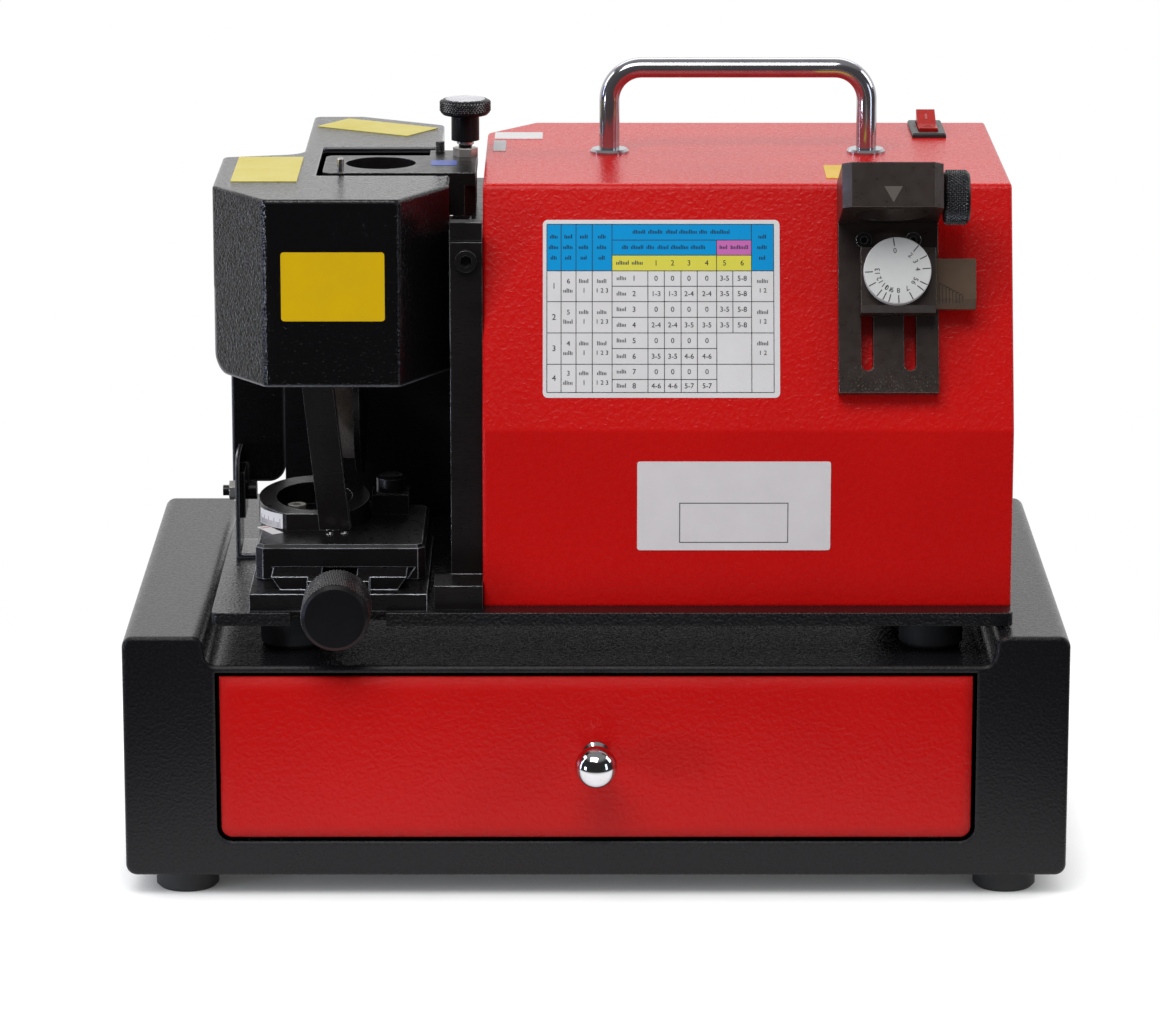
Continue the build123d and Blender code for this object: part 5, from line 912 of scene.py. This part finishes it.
def white_paper(name, reach):
    """White paper that keeps the object's shadow near it and fades into the white ground further off; near
    the object its glow is dimmed by ambient occlusion, a painted shadow.
    """
    material, tree, shader, place = blank_finish(name)
    fibre = noise(tree, place, 40.0, 3.0)
    give(tree, shader, {"Base Color": two_tone(tree, fibre, (0.6, 0.6, 0.6), (0.64, 0.64, 0.64), 0.3, 0.7),
                        "Roughness": 0.9,
                        "Specular IOR Level": 0.0})
    # The glow fades where the object closes the paper in: a painted contact shadow, on top of the lamps' real
    # shadow.
    open_sky = put(tree, "ShaderNodeAmbientOcclusion", {"Distance": 0.035}, samples=8).outputs["AO"]
    lift = sums(tree, "MULTIPLY", open_sky, 0.8)
    glow = put(tree, "ShaderNodeEmission", {"Strength": sums(tree, "MULTIPLY", seen_directly(tree), lift)})
    lit = put(tree, "ShaderNodeAddShader", {0: shader.outputs["BSDF"], 1: glow.outputs["Emission"]})
    far = put(tree, "ShaderNodeVectorMath", {0: place}, operation="LENGTH").outputs["Value"]
    fade = span(tree, far, reach * 0.5, reach * 0.95, interpolation_type="SMOOTHSTEP")
    ground = put(tree, "ShaderNodeBsdfTransparent")
    both = put(tree, "ShaderNodeMixShader", {0: fade, 1: lit.outputs["Shader"], 2: ground.outputs["BSDF"]})
    give(tree, tree.nodes["Material Output"], {"Surface": both.outputs["Shader"]})
    return material


def softbox(name, place, aim, width, height, power, tint=(1.0, 1.0, 1.0)):
    """A rectangular studio lamp aimed at a point."""
    data = bpy.data.lights.new(name, "AREA")
    data.shape = "RECTANGLE"
    data.size = width
    data.size_y = height
    data.energy = power
    data.color = tint
    lamp = bpy.data.objects.new(name, data)
    lamp.location = place
    lamp.rotation_euler = (Vector(aim) - Vector(place)).to_track_quat("-Z", "Y").to_euler()
    bpy.context.scene.collection.objects.link(lamp)


paper_reach = 0.5
bm = bmesh.new()
bmesh.ops.create_circle(bm, cap_ends=True, segments=96, radius=paper_reach)
paper_mesh = bpy.data.meshes.new("paper")
bm.to_mesh(paper_mesh)
bm.free()
paper_mesh.materials.append(white_paper("paper_white", paper_reach))
paper = bpy.data.objects.new("paper", paper_mesh)
bpy.context.scene.collection.objects.link(paper)

middle = (0.0, 0.0, 0.17)
# Places, aims, widths and heights are in metres, and powers in watts.
softbox("key", (-0.4, -1.3, 2.05), middle, 1.6, 1.0, 34.0)
softbox("left", (-1.05, -0.75, 0.12), middle, 0.14, 0.22, 3.4, (0.74, 0.82, 1.0))
softbox("window", (-1.3, -0.07, 0.33), (0.0, -0.07, 0.33), 0.08, 0.8, 2.8, (0.62, 0.66, 1.0))
softbox("left_high", (-1.3, 0.1, 1.0), middle, 0.6, 0.7, 4.0)
softbox("right", (1.1, -0.8, 0.3), middle, 0.25, 0.6, 1.6, (0.74, 0.84, 1.0))
softbox("right_high", (1.3, 0.1, 0.9), middle, 0.6, 0.7, 5.0)
softbox("back_top", (0.0, 1.4, 1.6), middle, 2.2, 0.8, 10.0)

world = bpy.data.worlds.new("studio")
world.use_nodes = True
sky = world.node_tree
sky.nodes.clear()
every_way = put(sky, "ShaderNodeTexCoord").outputs["Generated"]
way = put(sky, "ShaderNodeSeparateXYZ", {"Vector": every_way}).outputs
behind = span(sky, way["Y"], 0.1, 0.6, low=0.03, interpolation_type="SMOOTHSTEP")
above = span(sky, way["Z"], 0.55, 0.85, high=0.3, interpolation_type="SMOOTHSTEP")
direct = put(sky, "ShaderNodeLightPath").outputs["Is Camera Ray"]
shown = sums(sky, "MAXIMUM", direct, sums(sky, "MAXIMUM", behind, above))
white = (1.0, 1.0, 1.0, 1.0)
backdrop = put(sky, "ShaderNodeBackground", {"Color": white, "Strength": shown}).outputs["Background"]
fill = put(sky, "ShaderNodeBackground", {"Color": white, "Strength": 0.27}).outputs["Background"]
both = put(sky, "ShaderNodeMixShader", {0: seen_directly(sky), 1: fill, 2: backdrop}).outputs["Shader"]
put(sky, "ShaderNodeOutputWorld", {"Surface": both})
bpy.context.scene.world = world
bpy.context.scene.view_settings.view_transform = "Standard"

camera_data = bpy.data.cameras.new("camera")
camera_data.sensor_fit = "HORIZONTAL"
camera_data.sensor_width = 36.0
camera_data.lens = 165.3
camera = bpy.data.objects.new("camera", camera_data)
camera.location = (-0.0072, -2.4209, 0.7382)
camera.rotation_euler = (math.radians(76.35), 0.0, 0.0)
bpy.context.scene.collection.objects.link(camera)
bpy.context.scene.camera = camera
